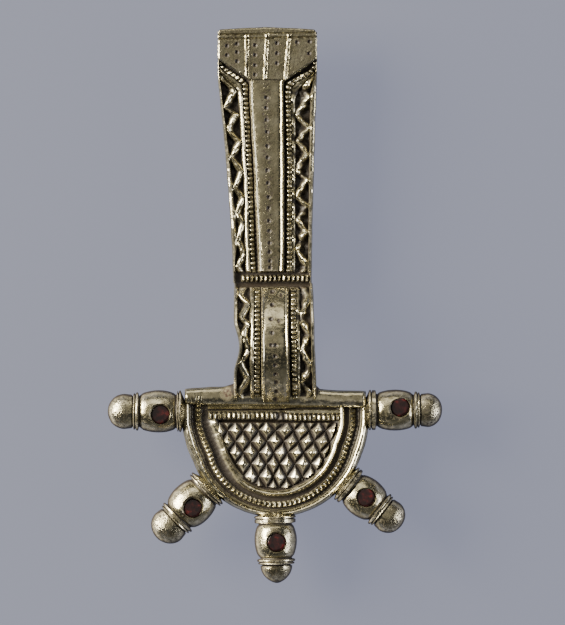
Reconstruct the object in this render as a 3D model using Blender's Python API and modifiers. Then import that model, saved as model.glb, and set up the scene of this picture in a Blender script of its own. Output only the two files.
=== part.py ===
"""A cast silver-gilt bow brooch with five garnet-set knobs and a sprung pin.

Metres, +Z out of the decorated front, +Y toward the end of the foot. The brooch lies on
its back, on the two spring lugs and the catch. The origin is on the ground, under the
middle of its box.
"""
import math
from collections import namedtuple

import bmesh
import bpy
from mathutils import Vector

MM = 0.001

# Lengths down the brooch, from the end of the foot to the lowest knob
FOOT_LENGTH = 39.6 * MM
BOW_SPAN = 18.6 * MM
HEAD_NECK = 2.95 * MM
HEAD_RADIUS = 14.5 * MM

# Half widths to each side of the pin's plane: the casting is a little crooked
FOOT_LEFT_AT_END = 8.85 * MM
FOOT_LEFT_AT_BOW = 6.5 * MM
FOOT_RIGHT_AT_END = 6.5 * MM
FOOT_RIGHT_AT_BOW = 5.7 * MM
BOW_LEFT = 6.35 * MM
BOW_RIGHT_AT_FOOT = 5.85 * MM
BOW_RIGHT_AT_HEAD = 6.5 * MM
FOOT_TAPER_POWER = 1.5

# The worn hollow in the bow's left edge
NOTCH_DEPTH = 0.85 * MM
NOTCH_HALF_LENGTH = 4.2 * MM
NOTCH_FROM_CROWN = 0.5 * MM

# Heights above the flat back of the plates
BACK_DEPTH = 5.5 * MM
FIELD_FLOOR = 1.3 * MM
GROOVE_FLOOR = 1.45 * MM
RIM_HEIGHT = 2.2 * MM
CREST_HEIGHT = 2.1 * MM
RIDGE_HEIGHT = 2.2 * MM
BEAD_HEIGHT = 2.25 * MM
STRIP_HEIGHT = 2.45 * MM
PANEL_HEIGHT = 2.6 * MM
BAR_HEIGHT = 2.9 * MM
BOW_RISE = 5.6 * MM
BOW_EXTRA_THICKNESS = 0.5 * MM

# Bands from each edge of the foot and bow toward the middle strip
RIM_WIDTH = 0.4 * MM
GUTTER_WIDTH = 0.25 * MM
ZIGZAG_WIDTH_AT_END = 2.25 * MM
ZIGZAG_WIDTH_AT_BOW = 1.85 * MM
RIDGE_WIDTH = 0.65 * MM
BEAD_CHANNEL = 1.05 * MM
BEVEL_WIDTH = 0.45 * MM
ZIGZAG_STEP = 2.06 * MM
ZIGZAG_INSET = 0.15 * MM
RIDGE_CHAMFER = 0.18 * MM

# Beaded lines
BEAD_PITCH = 0.72 * MM
BEAD_WIDTH = 0.75 * MM
BEAD_NOTCH = 0.4 * MM
BEAD_ROOT = 0.35 * MM

# Plain end panel of the foot, with a pointed-in lower edge
PANEL_SIDE_LENGTH = 4.9 * MM
PANEL_LENGTH = 8.35 * MM
PANEL_FOOT_HALF_WIDTH = 2.75 * MM
PANEL_MIDDLE = -1.15 * MM
PANEL_LINE_WIDTH = 0.3 * MM
PANEL_LINE_HEIGHT = 0.18 * MM
PANEL_LINE_GAP = 0.6 * MM
PANEL_LINE_SPACING = 3.3 * MM
PANEL_LINE_LEAN = 0.3 * MM
PANEL_BORDER = 1.6 * MM
PANEL_LINE_END = 0.35 * MM
CORNER_ROUND = 0.4 * MM
END_BULGE = 0.4 * MM

# Beaded band between foot and bow
BAND_WIDTH = 2.4 * MM
BAND_BEAD_WIDTH = 1.1 * MM
WALL_RUN = 0.25 * MM

# Bar across the top of the head
BAR_WIDTH = 2.9 * MM
BAR_OVERLAP = 0.5 * MM
BAR_HALF_LENGTH = 14.1 * MM
BAR_DROP = 0.8 * MM

# Half-round head plate, out from the chip-carved field
FIELD_RADIUS = 8.9 * MM
INNER_RIDGE_RADIUS = 10.0 * MM
BEAD_ARC_RADIUS = 11.85 * MM
RIM_RIDGE_RADIUS = 13.2 * MM
HEAD_EDGE_HEIGHT = 1.7 * MM
TOP_BEADS_FROM_CENTRE = 1.0 * MM
FIELD_TOP_FROM_CENTRE = 0.1 * MM
ARC_STEPS = 28

# Pyramids of the head's field
PYRAMID_WIDTH = 2.45 * MM
PYRAMID_LENGTH = 3.25 * MM
PYRAMID_HEIGHT = 1.0 * MM
PYRAMID_X = -1.25 * MM
PYRAMID_FROM_CENTRE = 4.55 * MM
PYRAMID_ROOT = 0.3 * MM
PYRAMID_VALLEY = 0.08 * MM

# Knobs, turned shapes laid in the plane of the plates
KNOB_AXIS_HEIGHT = 0.6 * MM
BULB_RADIUS = 3.2 * MM
KNOB_NECK_RADIUS = 2.5 * MM
COLLAR_RADIUS = 3.2 * MM
KNOB_RING_RADIUS = 2.85 * MM
KNOB_RING_LENGTH = 0.8 * MM
KNOB_GROOVE = 0.3 * MM
DOME_RADIUS = 2.65 * MM
LOW_DOME_RADIUS = 2.4 * MM
LOW_KNOB_LENGTH = 10.5 * MM
KNOB_ROOT = 1.0 * MM
ROUND_STEPS = 16
LEFT_KNOB_FROM_CENTRE = 1.65 * MM
RIGHT_KNOB_FROM_CENTRE = 1.85 * MM

# Garnets in round seats
GARNET_DIAMETER = 2.7 * MM
GARNET_THICKNESS = 0.8 * MM
GARNET_DOME = 0.12 * MM
SEAT_CLEARANCE = 0.2 * MM

# Spring lugs, axle and pin behind the head
LUG_SPACING = 10.4 * MM
LUG_THICKNESS = 1.5 * MM
LUG_WIDTH = 5.2 * MM
LUG_FOOT_WIDTH = 3.0 * MM
LUG_FROM_CENTRE = 1.6 * MM
FITTING_ROOT = 0.4 * MM
AXLE_DIAMETER = 1.4 * MM
AXLE_OVERHANG = 0.9 * MM
AXLE_DEPTH = 2.9 * MM
AXLE_CLEARANCE = 0.25 * MM
WIRE_DIAMETER = 1.1 * MM
COIL_TURNS = 3
COIL_POINTS_PER_TURN = 14
COIL_PITCH = 1.4 * MM
PIN_RISE = 1.3 * MM
PIN_PAST_CATCH = 1.5 * MM
PIN_TIP_TAPER = 7.0 * MM
PIN_TIP_SHARE = 0.3

# Catch behind the foot, an open gutter that the pin is pressed into
CATCH_LENGTH = 9.0 * MM
CATCH_FROM_BOW = 3.0 * MM
CATCH_WALL = 1.0 * MM
CATCH_GUTTER = 1.9 * MM
CATCH_LIP_HEIGHT = 2.3 * MM
CATCH_SIDE = -1.9 * MM
PIN_CATCH_CLEARANCE = 0.45 * MM

# How far shapes reach below the backs of the plates before those are trimmed flat
BORDER_ROOT = 0.3 * MM
FLOOR_ROOT = 0.15 * MM
BAR_ROOT = 0.22 * MM
PANEL_ROOT = 0.1 * MM
PANEL_OVERHANG = 0.03 * MM
TRIM_DEPTH = 0.02 * MM
FLAT_ANGLE = math.radians(0.3)
MERGE_DISTANCE = 0.002 * MM

# Each hand-finished knob: where it leaves the plate and how far it turns from there, in
# degrees, its girth beside the common size, and the lengths of its collar, bulb and whole
Knob = namedtuple("Knob", "name angle turn girth collar bulb length")
KNOBS = (
    Knob("left", 180.0, 0.0, 1.03, 0.9 * MM, 5.45 * MM, 11.45 * MM),
    Knob("right", 0.0, 0.0, 1.0, 1.35 * MM, 5.45 * MM, 11.45 * MM),
    Knob("lower_left", 224.4, 0.0, 1.08, 1.0 * MM, 5.15 * MM, 11.2 * MM),
    Knob("lower_right", 319.3, 3.0, 1.0, 1.25 * MM, 4.85 * MM, 10.9 * MM),
    Knob("bottom", 270.0, 1.5, 1.03, 1.35 * MM, 5.05 * MM, LOW_KNOB_LENGTH),
)

# Each garnet: how far out along its knob, how far to the left of the knob's heading, and how
# far its face lies under the top of the bulb
GARNET_PLACES = {
    "left": (3.2 * MM, 0.45 * MM, 0.5 * MM),
    "right": (4.9 * MM, 0.45 * MM, 0.6 * MM),
    "lower_left": (3.85 * MM, 0.65 * MM, 0.7 * MM),
    "lower_right": (3.8 * MM, 0.15 * MM, 0.45 * MM),
    "bottom": (4.1 * MM, 0.15 * MM, 0.45 * MM),
}

# Places along Y, worked out from the lengths
TOTAL_LENGTH = FOOT_LENGTH + BOW_SPAN + HEAD_NECK + HEAD_RADIUS + LOW_KNOB_LENGTH
FOOT_END_Y = TOTAL_LENGTH / 2
BOW_FOOT_Y = FOOT_END_Y - FOOT_LENGTH
CROWN_Y = BOW_FOOT_Y - BOW_SPAN / 2
BOW_HEAD_Y = BOW_FOOT_Y - BOW_SPAN
HEAD_CENTRE_Y = BOW_HEAD_Y - HEAD_NECK
BAND_Y = BOW_FOOT_Y + BAND_WIDTH / 4
BAR_BOTTOM_Y = BOW_HEAD_Y - BAR_OVERLAP
BAR_TOP_Y = BAR_BOTTOM_Y + BAR_WIDTH
AXLE_Y = HEAD_CENTRE_Y - LUG_FROM_CENTRE
AXLE_Z = BACK_DEPTH - AXLE_DEPTH
CATCH_START_Y = BOW_FOOT_Y + CATCH_FROM_BOW
COIL_RADIUS = AXLE_DIAMETER / 2 + AXLE_CLEARANCE + WIRE_DIAMETER / 2
PIN_X = CATCH_SIDE + 2 * CATCH_WALL + CATCH_GUTTER + PIN_CATCH_CLEARANCE + WIRE_DIAMETER / 2


def new_collection(name):
    collection = bpy.data.collections.new(name)
    bpy.context.scene.collection.children.link(collection)
    return collection


def metal(name, colour, roughness, metallic=1.0):
    material = bpy.data.materials.new(name)
    material.use_nodes = True
    shader = material.node_tree.nodes["Principled BSDF"]
    shader.inputs["Base Color"].default_value = (*colour, 1.0)
    shader.inputs["Roughness"].default_value = roughness
    shader.inputs["Metallic"].default_value = metallic
    return material


def place(obj, collection, material):
    collection.objects.link(obj)
    obj.data.materials.append(material)
    return obj


def just_added(name):
    """The primitive just added, named and taken out of the scene's own collection."""
    obj = bpy.context.object
    obj.name = name
    for collection in obj.users_collection:
        collection.objects.unlink(obj)
    return obj


def as_tool(obj, tools):
    """Keep a shape as a helper that other shapes are joined to or cut by."""
    tools.objects.link(obj)
    obj.hide_render = True
    obj.display_type = "WIRE"
    return obj


def boolean(obj, tool, operation):
    modifier = obj.modifiers.new(f"{operation.title()} {tool.name}", "BOOLEAN")
    modifier.operation = operation
    modifier.object = tool


def skin(name, rings):
    """A closed solid through rings of equal count, capped at both ends."""
    mesh = bpy.data.meshes.new(name)
    bm = bmesh.new()
    loops = [[bm.verts.new(point) for point in ring] for ring in rings]
    for near, far in zip(loops, loops[1:]):
        for i in range(len(near)):
            j = (i + 1) % len(near)
            bm.faces.new((near[i], near[j], far[j], far[i]))
    bm.faces.new(list(reversed(loops[0])))
    bm.faces.new(loops[-1])
    bmesh.ops.recalc_face_normals(bm, faces=bm.faces)
    bm.to_mesh(mesh)
    bm.free()
    return bpy.data.objects.new(name, mesh)


def flat_shape(name, outline, thickness):
    """A filled flat outline in local XY, centred on its thickness, as a mesh."""
    curve = bpy.data.curves.new(name, "CURVE")
    curve.dimensions = "2D"
    curve.fill_mode = "BOTH"
    curve.extrude = thickness / 2
    spline = curve.splines.new("POLY")
    spline.points.add(len(outline) - 1)
    for point, (x, y) in zip(spline.points, outline):
        point.co = (x, y, 0.0, 1.0)
    spline.use_cyclic_u = True
    return curve_to_mesh(bpy.data.objects.new(name, curve))


def curve_to_mesh(curve_object):
    """Turn a curve into a welded mesh object of the same name."""
    name = curve_object.name
    bpy.context.scene.collection.objects.link(curve_object)
    bpy.context.view_layer.update()
    graph = bpy.context.evaluated_depsgraph_get()
    mesh = bpy.data.meshes.new_from_object(curve_object.evaluated_get(graph))
    bm = bmesh.new()
    bm.from_mesh(mesh)
    bmesh.ops.remove_doubles(bm, verts=bm.verts, dist=MERGE_DISTANCE)
    bmesh.ops.recalc_face_normals(bm, faces=bm.faces)
    bm.to_mesh(mesh)
    bm.free()
    bpy.data.objects.remove(curve_object)
    mesh.name = name
    return bpy.data.objects.new(name, mesh)


def turned(name, profile, steps):
    """A profile of (radius, height) pairs, listed top to bottom, turned about Z."""
    mesh = bpy.data.meshes.new(name)
    points = [(radius, 0.0, height) for radius, height in profile]
    mesh.from_pydata(points, [(i, i + 1) for i in range(len(points) - 1)], [])
    obj = bpy.data.objects.new(name, mesh)
    screw = obj.modifiers.new("Turn", "SCREW")
    screw.steps = steps
    screw.render_steps = steps
    screw.use_merge_vertices = True
    screw.merge_threshold = MERGE_DISTANCE
    screw.use_smooth_shade = True
    return obj


def mix(start, end, share):
    return start + (end - start) * share


def triangle_wave(turns):
    """0 at whole even counts, 1 at odd ones, straight between them."""
    return 1.0 - abs(turns % 2.0 - 1.0)


def bow_rise(y):
    """Height of the bow's arch over the plates at this place along it."""
    share = (y - CROWN_Y) / (BOW_SPAN / 2)
    return BOW_RISE * max(0.0, 1.0 - share * share)


def notch(y):
    """How far wear has eaten in from the bow's left edge."""
    share = (y - (CROWN_Y - NOTCH_FROM_CROWN)) / NOTCH_HALF_LENGTH
    if abs(share) >= 1.0:
        return 0.0
    return NOTCH_DEPTH * (1.0 + math.cos(math.pi * share)) / 2


def edges(y):
    """Left and right edge of the unworn foot or bow at this place along it."""
    if y < BOW_FOOT_Y:
        share = (BOW_FOOT_Y - y) / BOW_SPAN
        return -BOW_LEFT, mix(BOW_RIGHT_AT_FOOT, BOW_RIGHT_AT_HEAD, share)
    share = min(1.0, (y - BOW_FOOT_Y) / (FOOT_LENGTH - PANEL_LENGTH)) ** FOOT_TAPER_POWER
    left = mix(FOOT_LEFT_AT_BOW, FOOT_LEFT_AT_END, share)
    right = mix(FOOT_RIGHT_AT_BOW, FOOT_RIGHT_AT_END, share)
    return -left, right


def zigzag_width(y):
    share = min(1.0, max(0.0, (y - BOW_FOOT_Y) / (FOOT_LENGTH - PANEL_LENGTH)))
    return mix(ZIGZAG_WIDTH_AT_BOW, ZIGZAG_WIDTH_AT_END, share)


def bead_line_inset(y):
    """From the edge to the middle of the beaded line beside the strip."""
    return RIM_WIDTH + GUTTER_WIDTH + zigzag_width(y) + RIDGE_WIDTH + BEAD_CHANNEL / 2


def half_section(y, zigzag, carved, wear):
    """One side of the top: (distance in from the unworn edge, height)."""
    field_start = RIM_WIDTH + GUTTER_WIDTH
    field_end = field_start + zigzag_width(y)
    field_start += wear
    crest = mix(field_start + ZIGZAG_INSET, field_end - ZIGZAG_INSET, zigzag)
    ridge_end = field_end + RIDGE_WIDTH
    channel_end = ridge_end + BEAD_CHANNEL
    lines = [
        (wear, RIM_HEIGHT),
        (wear + RIM_WIDTH, RIM_HEIGHT),
        (field_start, FIELD_FLOOR),
        (crest, CREST_HEIGHT),
        (field_end, FIELD_FLOOR),
        (field_end + RIDGE_CHAMFER, RIDGE_HEIGHT),
        (ridge_end - RIDGE_CHAMFER, RIDGE_HEIGHT),
        (ridge_end, GROOVE_FLOOR),
        (channel_end, GROOVE_FLOOR),
        (channel_end + BEVEL_WIDTH, STRIP_HEIGHT),
    ]
    if not carved:
        floor = [(inset, GROOVE_FLOOR) for inset, height in lines[2:]]
        lines = lines[:2] + floor
    return lines


def section(y, zigzag, carved=True):
    """The closed outline across the foot or bow at this place along it."""
    left, right = edges(y)
    top = BACK_DEPTH + bow_rise(y)
    back = BACK_DEPTH + bow_rise(y) * (1.0 - BOW_EXTRA_THICKNESS / BOW_RISE)
    wear = notch(y)
    ring = [(left + wear, y, back)]
    for inset, height in half_section(y, zigzag, carved, wear):
        ring.append((left + inset, y, top + height))
    for inset, height in reversed(half_section(y, zigzag, carved, 0.0)):
        ring.append((right - inset, y, top + height))
    ring.append((right, y, back))
    return ring


def carved_rows(start, end):
    """Rows a zigzag step apart, with the zigzag turning at each."""
    steps = max(2, round(abs(end - start) / ZIGZAG_STEP))
    return [(mix(start, end, i / steps), triangle_wave(i + 1)) for i in range(steps + 1)]


def foot_and_bow():
    """The long casting from the end of the foot to the bar, as one skin."""
    carving_top = FOOT_END_Y - PANEL_LENGTH - WALL_RUN / 2
    band_top = BAND_Y + BAND_WIDTH / 2
    band_bottom = BAND_Y - BAND_WIDTH / 2
    rings = [section(FOOT_END_Y - END_BULGE - CORNER_ROUND, 1.0, carved=False)]
    rings.append(section(carving_top + WALL_RUN, 1.0, carved=False))
    rings += [section(y, wave) for y, wave in carved_rows(carving_top, band_top + WALL_RUN)]
    rings.append(section(band_top, 1.0, carved=False))
    rings.append(section(band_bottom, 1.0, carved=False))
    rings += [section(y, wave) for y, wave in carved_rows(band_bottom - WALL_RUN, BOW_HEAD_Y)]
    return skin("foot_and_bow", rings)


def bead_row(name, path, width=BEAD_WIDTH, floor=GROOVE_FLOOR, over_bow=False):
    """A beaded line along a plan path, notched at each bead."""
    lengths = [0.0]
    for a, b in zip(path, path[1:]):
        lengths.append(lengths[-1] + math.dist(a, b))
    halves = 2 * max(2, round(lengths[-1] / BEAD_PITCH))
    rings = []
    for i in range(halves + 1):
        along = lengths[-1] * i / halves
        x, y, across = path_point(path, lengths, along)
        height = BEAD_HEIGHT if i % 2 else BEAD_HEIGHT - BEAD_NOTCH
        base = BACK_DEPTH + (bow_rise(y) if over_bow else 0.0)
        half = across * width / 2
        foot = base + floor - BEAD_ROOT
        rings.append([
            (x - half.x, y - half.y, foot),
            (x - half.x, y - half.y, base + height),
            (x + half.x, y + half.y, base + height),
            (x + half.x, y + half.y, foot),
        ])
    return skin(name, rings)


def path_point(path, lengths, along):
    """A point on a plan path, with the direction across it."""
    index = 0
    while index < len(path) - 2 and along > lengths[index + 1]:
        index += 1
    a = Vector(path[index])
    b = Vector(path[index + 1])
    share = (along - lengths[index]) / (lengths[index + 1] - lengths[index])
    direction = (b - a).normalized()
    point = a.lerp(b, share)
    return point.x, point.y, Vector((-direction.y, direction.x))


def side_bead_paths():
    """The four beaded lines beside the strip: two on the foot, two on the bow."""
    bend = FOOT_END_Y - PANEL_LENGTH - BEAD_WIDTH
    start = bend + PANEL_LENGTH - PANEL_SIDE_LENGTH
    foot_stop = BAND_Y + BAND_WIDTH / 2 + WALL_RUN
    bow_start = BAND_Y - BAND_WIDTH / 2 - WALL_RUN
    for side in (0, 1):
        sign = (1.0, -1.0)[side]
        foot = [(edges(start)[side] + sign * RIM_WIDTH / 2, start)]
        foot += [(edges(y)[side] + sign * bead_line_inset(y), y) for y in (bend, foot_stop)]
        bow = []
        rows = 2 * round(BOW_SPAN / ZIGZAG_STEP)
        for i in range(rows + 1):
            y = mix(bow_start, BOW_HEAD_Y, i / rows)
            bow.append((edges(y)[side] + sign * bead_line_inset(y), y))
        yield foot, bow


def end_panel():
    """The plain panel at the foot's end, pointed in where the strip begins."""
    left, right = edges(FOOT_END_Y)
    left -= PANEL_OVERHANG
    right += PANEL_OVERHANG
    side_y = FOOT_END_Y - PANEL_SIDE_LENGTH
    foot_y = FOOT_END_Y - PANEL_LENGTH
    corner_y = FOOT_END_Y - END_BULGE - CORNER_ROUND
    outline = [
        (left, corner_y),
        (left, side_y),
        (PANEL_MIDDLE - PANEL_FOOT_HALF_WIDTH, foot_y),
        (PANEL_MIDDLE + PANEL_FOOT_HALF_WIDTH, foot_y),
        (right, side_y),
        (right, corner_y),
    ]
    end_points = 8
    for i in range(end_points + 1):
        share = i / end_points
        x = mix(right - CORNER_ROUND, left + CORNER_ROUND, share)
        outline.append((x, FOOT_END_Y - END_BULGE * (2 * share - 1) ** 2))
    return slab("end_panel", outline, PANEL_HEIGHT, PANEL_ROOT)


def panel_lines():
    """The three double lines raised on the end panel, leaning in toward the strip."""
    for column in (-1, 0, 1):
        for edge in (-0.5, 0.5):
            x = PANEL_MIDDLE + column * PANEL_LINE_SPACING + edge * PANEL_LINE_GAP
            lean = -(column + 1) * PANEL_LINE_LEAN
            top = FOOT_END_Y - PANEL_BORDER
            run = PANEL_LENGTH - PANEL_BORDER - PANEL_LINE_END
            if column:
                run -= PANEL_LINE_SPACING + PANEL_LINE_GAP - PANEL_FOOT_HALF_WIDTH
            half = PANEL_LINE_WIDTH / 2
            peak = BACK_DEPTH + PANEL_HEIGHT + PANEL_LINE_HEIGHT
            root = BACK_DEPTH + PANEL_HEIGHT - PANEL_LINE_HEIGHT
            ends = ((x, top), (x + lean, top - run))
            rings = [[(cx - half, y, root), (cx, y, peak), (cx + half, y, root)] for cx, y in ends]
            yield skin(f"panel_line_{column}_{edge}", rings)


def slab(name, outline, height, root):
    """A flat outline from just under the plates' backs up to a height above them."""
    obj = flat_shape(name, outline, height + root)
    obj.location.z = BACK_DEPTH + (height - root) / 2
    return obj


def head_path(radius, top=None, steps=ARC_STEPS):
    """A U in plan: down from the bar, round the head, and back up to the bar."""
    top = BAR_BOTTOM_Y if top is None else top
    points = [(-radius, top)]
    for i in range(steps + 1):
        angle = math.pi * (1.0 + i / steps)
        points.append((radius * math.cos(angle), HEAD_CENTRE_Y + radius * math.sin(angle)))
    points.append((radius, top))
    return points


def head_plate():
    """The flat half-round floor of the head."""
    radius = (FIELD_RADIUS + HEAD_RADIUS) / 2
    top = BAR_BOTTOM_Y + BAR_WIDTH / 3
    return slab("head_floor", head_path(radius, top), FIELD_FLOOR, FLOOR_ROOT)


def head_border():
    """The raised border of the head: rim ridge, bead channel and inner ridge."""
    groove_half = BEAD_CHANNEL / 2
    profile = [
        (FIELD_RADIUS, -BORDER_ROOT),
        (FIELD_RADIUS, FIELD_FLOOR - RIDGE_CHAMFER),
        (INNER_RIDGE_RADIUS - RIDGE_CHAMFER, RIDGE_HEIGHT),
        (INNER_RIDGE_RADIUS + RIDGE_CHAMFER, RIDGE_HEIGHT),
        (BEAD_ARC_RADIUS - groove_half, GROOVE_FLOOR),
        (BEAD_ARC_RADIUS + groove_half, GROOVE_FLOOR),
        (RIM_RIDGE_RADIUS, RIM_HEIGHT),
        (HEAD_RADIUS - RIDGE_CHAMFER, HEAD_EDGE_HEIGHT + RIDGE_CHAMFER),
        (HEAD_RADIUS, HEAD_EDGE_HEIGHT),
        (HEAD_RADIUS, -BORDER_ROOT),
    ]
    paths = [head_path(radius, BAR_BOTTOM_Y + BAR_WIDTH / 2) for radius, height in profile]
    rings = []
    for points in zip(*paths):
        rings.append([(x, y, BACK_DEPTH + height) for (x, y), (_, height) in zip(points, profile)])
    return skin("head_border", rings)


def bar():
    """The half-round bar across the top of the head."""
    arc_points = 8
    half = BAR_WIDTH / 2
    middle_y = BAR_TOP_Y - half
    shoulder = BAR_HEIGHT - half
    outline = [(BAR_TOP_Y, -BAR_ROOT)]
    for i in range(arc_points + 1):
        angle = math.pi * i / arc_points
        outline.append((middle_y + half * math.cos(angle), shoulder + half * math.sin(angle)))
    outline.append((BAR_BOTTOM_Y, -BAR_ROOT))
    rings = []
    for x, shift in ((-BAR_HALF_LENGTH, BAR_DROP / 2), (BAR_HALF_LENGTH, -BAR_DROP / 2)):
        rings.append([(x, y + shift, BACK_DEPTH + height) for y, height in outline])
    return skin("bar", rings)


def pyramid_field():
    """Chip-carved pyramids on a lozenge lattice, cut to the head's field."""
    mesh = bpy.data.meshes.new("pyramids")
    bm = bmesh.new()
    half_width = PYRAMID_WIDTH / 2
    half_length = PYRAMID_LENGTH / 2
    columns = math.ceil(FIELD_RADIUS / half_width) + 2
    rows = math.ceil(FIELD_RADIUS / half_length) + 2
    middle_y = HEAD_CENTRE_Y - PYRAMID_FROM_CENTRE
    low = BACK_DEPTH + FIELD_FLOOR + PYRAMID_VALLEY
    for row in range(-rows, rows + 1):
        for column in range(-columns, columns + 1):
            if (row + column) % 2:
                continue
            x = PYRAMID_X + column * half_width
            y = middle_y + row * half_length
            apex = bm.verts.new((x, y, low + PYRAMID_HEIGHT))
            corners = [bm.verts.new((x + dx, y + dy, low)) for dx, dy in
                       ((half_width, 0), (0, half_length), (-half_width, 0), (0, -half_length))]
            for i in range(4):
                bm.faces.new((corners[i], corners[(i + 1) % 4], apex))
    bmesh.ops.remove_doubles(bm, verts=bm.verts, dist=MERGE_DISTANCE)
    skirt = bmesh.ops.extrude_face_region(bm, geom=bm.faces[:])
    for item in skirt["geom"]:
        if isinstance(item, bmesh.types.BMVert):
            item.co.z = low - PYRAMID_ROOT
    bmesh.ops.recalc_face_normals(bm, faces=bm.faces)
    bm.to_mesh(mesh)
    bm.free()
    return bpy.data.objects.new("pyramids", mesh)


def field_outline():
    """The half-round window that bounds the pyramids."""
    top = HEAD_CENTRE_Y - FIELD_TOP_FROM_CENTRE
    radius = FIELD_RADIUS + RIDGE_CHAMFER
    outline = []
    for i in range(ARC_STEPS + 1):
        angle = math.pi * (1.0 + i / ARC_STEPS)
        outline.append((radius * math.cos(angle), top + radius * math.sin(angle)))
    height = 2 * (PYRAMID_HEIGHT + PYRAMID_ROOT)
    window = flat_shape("field_window", outline, height)
    window.location.z = BACK_DEPTH + FIELD_FLOOR
    return window


def knob_profile(entry, dome_radius, dome_shoulder):
    """Radius and distance from the plate's edge, from the tip back to the root."""
    bulb_start = entry.collar
    bulb_end = bulb_start + entry.bulb
    ring_start = bulb_end + KNOB_GROOVE
    ring_end = ring_start + KNOB_RING_LENGTH
    dome_start = ring_end + KNOB_GROOVE
    dome_length = entry.length - dome_start
    dome_points = 4
    profile = []
    for i in range(dome_points + 1):
        angle = math.pi / 2 * i / dome_points
        reach = dome_length * mix(dome_shoulder, 1.0, math.cos(angle))
        profile.append((dome_radius * math.sin(angle), dome_start + reach))
    profile.append((dome_radius - KNOB_GROOVE / 2, dome_start))
    profile.append((dome_radius - KNOB_GROOVE, dome_start - KNOB_GROOVE / 2))
    profile.append((KNOB_RING_RADIUS, ring_end))
    profile.append((KNOB_RING_RADIUS, ring_start))
    profile.append((KNOB_NECK_RADIUS, bulb_end))
    bulb_points = 6
    bulb_fullness = 0.6
    for i in range(1, bulb_points):
        share = i / bulb_points
        swell = math.sin(math.pi * share) ** bulb_fullness
        profile.append((mix(KNOB_NECK_RADIUS, BULB_RADIUS, swell), mix(bulb_end, bulb_start, share)))
    profile.append((KNOB_NECK_RADIUS, bulb_start))
    profile.append((COLLAR_RADIUS, bulb_start - KNOB_GROOVE))
    profile.append((COLLAR_RADIUS - KNOB_GROOVE, bulb_start / 2))
    profile.append((COLLAR_RADIUS, KNOB_GROOVE / 2))
    profile.append((COLLAR_RADIUS, -KNOB_ROOT))
    profile.append((0.0, -KNOB_ROOT))
    return [(radius * entry.girth, reach) for radius, reach in profile]


def knob_base(entry):
    """Where a knob leaves the plate's edge, and its heading."""
    angle = math.radians(entry.angle)
    x = HEAD_RADIUS * math.cos(angle)
    y = HEAD_CENTRE_Y + HEAD_RADIUS * math.sin(angle)
    if entry.name == "left":
        y += LEFT_KNOB_FROM_CENTRE
    if entry.name == "right":
        y += RIGHT_KNOB_FROM_CENTRE
    return x, y, angle + math.radians(entry.turn)


def knob(entry):
    """One knob laid out from the plate's edge; the bottom one ends in a worn, pointed dome."""
    pointed = entry.name == "bottom"
    dome_radius = LOW_DOME_RADIUS if pointed else DOME_RADIUS
    dome_shoulder = 0.0 if pointed else 0.3
    profile = knob_profile(entry, dome_radius, dome_shoulder)
    obj = turned(f"knob_{entry.name}", profile, ROUND_STEPS)
    x, y, heading = knob_base(entry)
    obj.location = (x, y, BACK_DEPTH + KNOB_AXIS_HEIGHT)
    obj.rotation_euler = (0.0, math.pi / 2, heading)
    return obj


def garnet_place(entry):
    """Middle of the garnet's face, a little under the top of the bulb."""
    x, y, heading = knob_base(entry)
    out, left, under = GARNET_PLACES[entry.name]
    x += out * math.cos(heading) - left * math.sin(heading)
    y += out * math.sin(heading) + left * math.cos(heading)
    top = BACK_DEPTH + KNOB_AXIS_HEIGHT + BULB_RADIUS * entry.girth - under
    return Vector((x, y, top))


def seat(name, centre):
    """The round pocket that a garnet sits in."""
    depth = GARNET_THICKNESS + SEAT_CLEARANCE
    radius = GARNET_DIAMETER / 2 + SEAT_CLEARANCE
    bpy.ops.mesh.primitive_cylinder_add(vertices=ROUND_STEPS, radius=radius, depth=2 * depth)
    obj = just_added(f"seat_{name}")
    obj.location = centre
    return obj


def garnet(name, centre):
    """A round flat stone with a faintly domed face."""
    radius = GARNET_DIAMETER / 2
    table = 0.55 * radius
    shoulder = 0.85 * radius
    table_height = 0.7 * GARNET_DOME
    girdle = -2 * GARNET_DOME
    profile = [
        (0.0, GARNET_DOME),
        (table, table_height),
        (shoulder, 0.0),
        (radius, girdle),
        (radius, -GARNET_THICKNESS),
        (0.0, -GARNET_THICKNESS),
    ]
    obj = turned(f"garnet_{name}", profile, ROUND_STEPS)
    obj.location = centre - Vector((0.0, 0.0, GARNET_DOME))
    return obj


def across_x(obj, x, y, z):
    """Turn a flat shape drawn in XY so that it stands across X, its Y upward."""
    obj.rotation_euler = (math.pi / 2, 0.0, math.pi / 2)
    obj.location = (x, y, z)
    return obj


def lug(name, side):
    """A pierced lug under the head, with a flat end that the brooch lies on."""
    half = LUG_WIDTH / 2
    foot_half = LUG_FOOT_WIDTH / 2
    root = BACK_DEPTH + FITTING_ROOT
    outline = [
        (half, root),
        (half, AXLE_Z),
        (foot_half, 0.0),
        (-foot_half, 0.0),
        (-half, AXLE_Z),
        (-half, root),
    ]
    plate = flat_shape(name, outline, LUG_THICKNESS)
    return across_x(plate, side * LUG_SPACING / 2, AXLE_Y, 0.0)


def axle_hole():
    reach = LUG_SPACING + 2 * LUG_THICKNESS
    radius = AXLE_DIAMETER / 2 + AXLE_CLEARANCE
    bpy.ops.mesh.primitive_cylinder_add(vertices=ROUND_STEPS, radius=radius, depth=reach)
    obj = just_added("axle_hole")
    obj.rotation_euler = (0.0, math.pi / 2, 0.0)
    obj.location = (0.0, AXLE_Y, AXLE_Z)
    return obj


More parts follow.
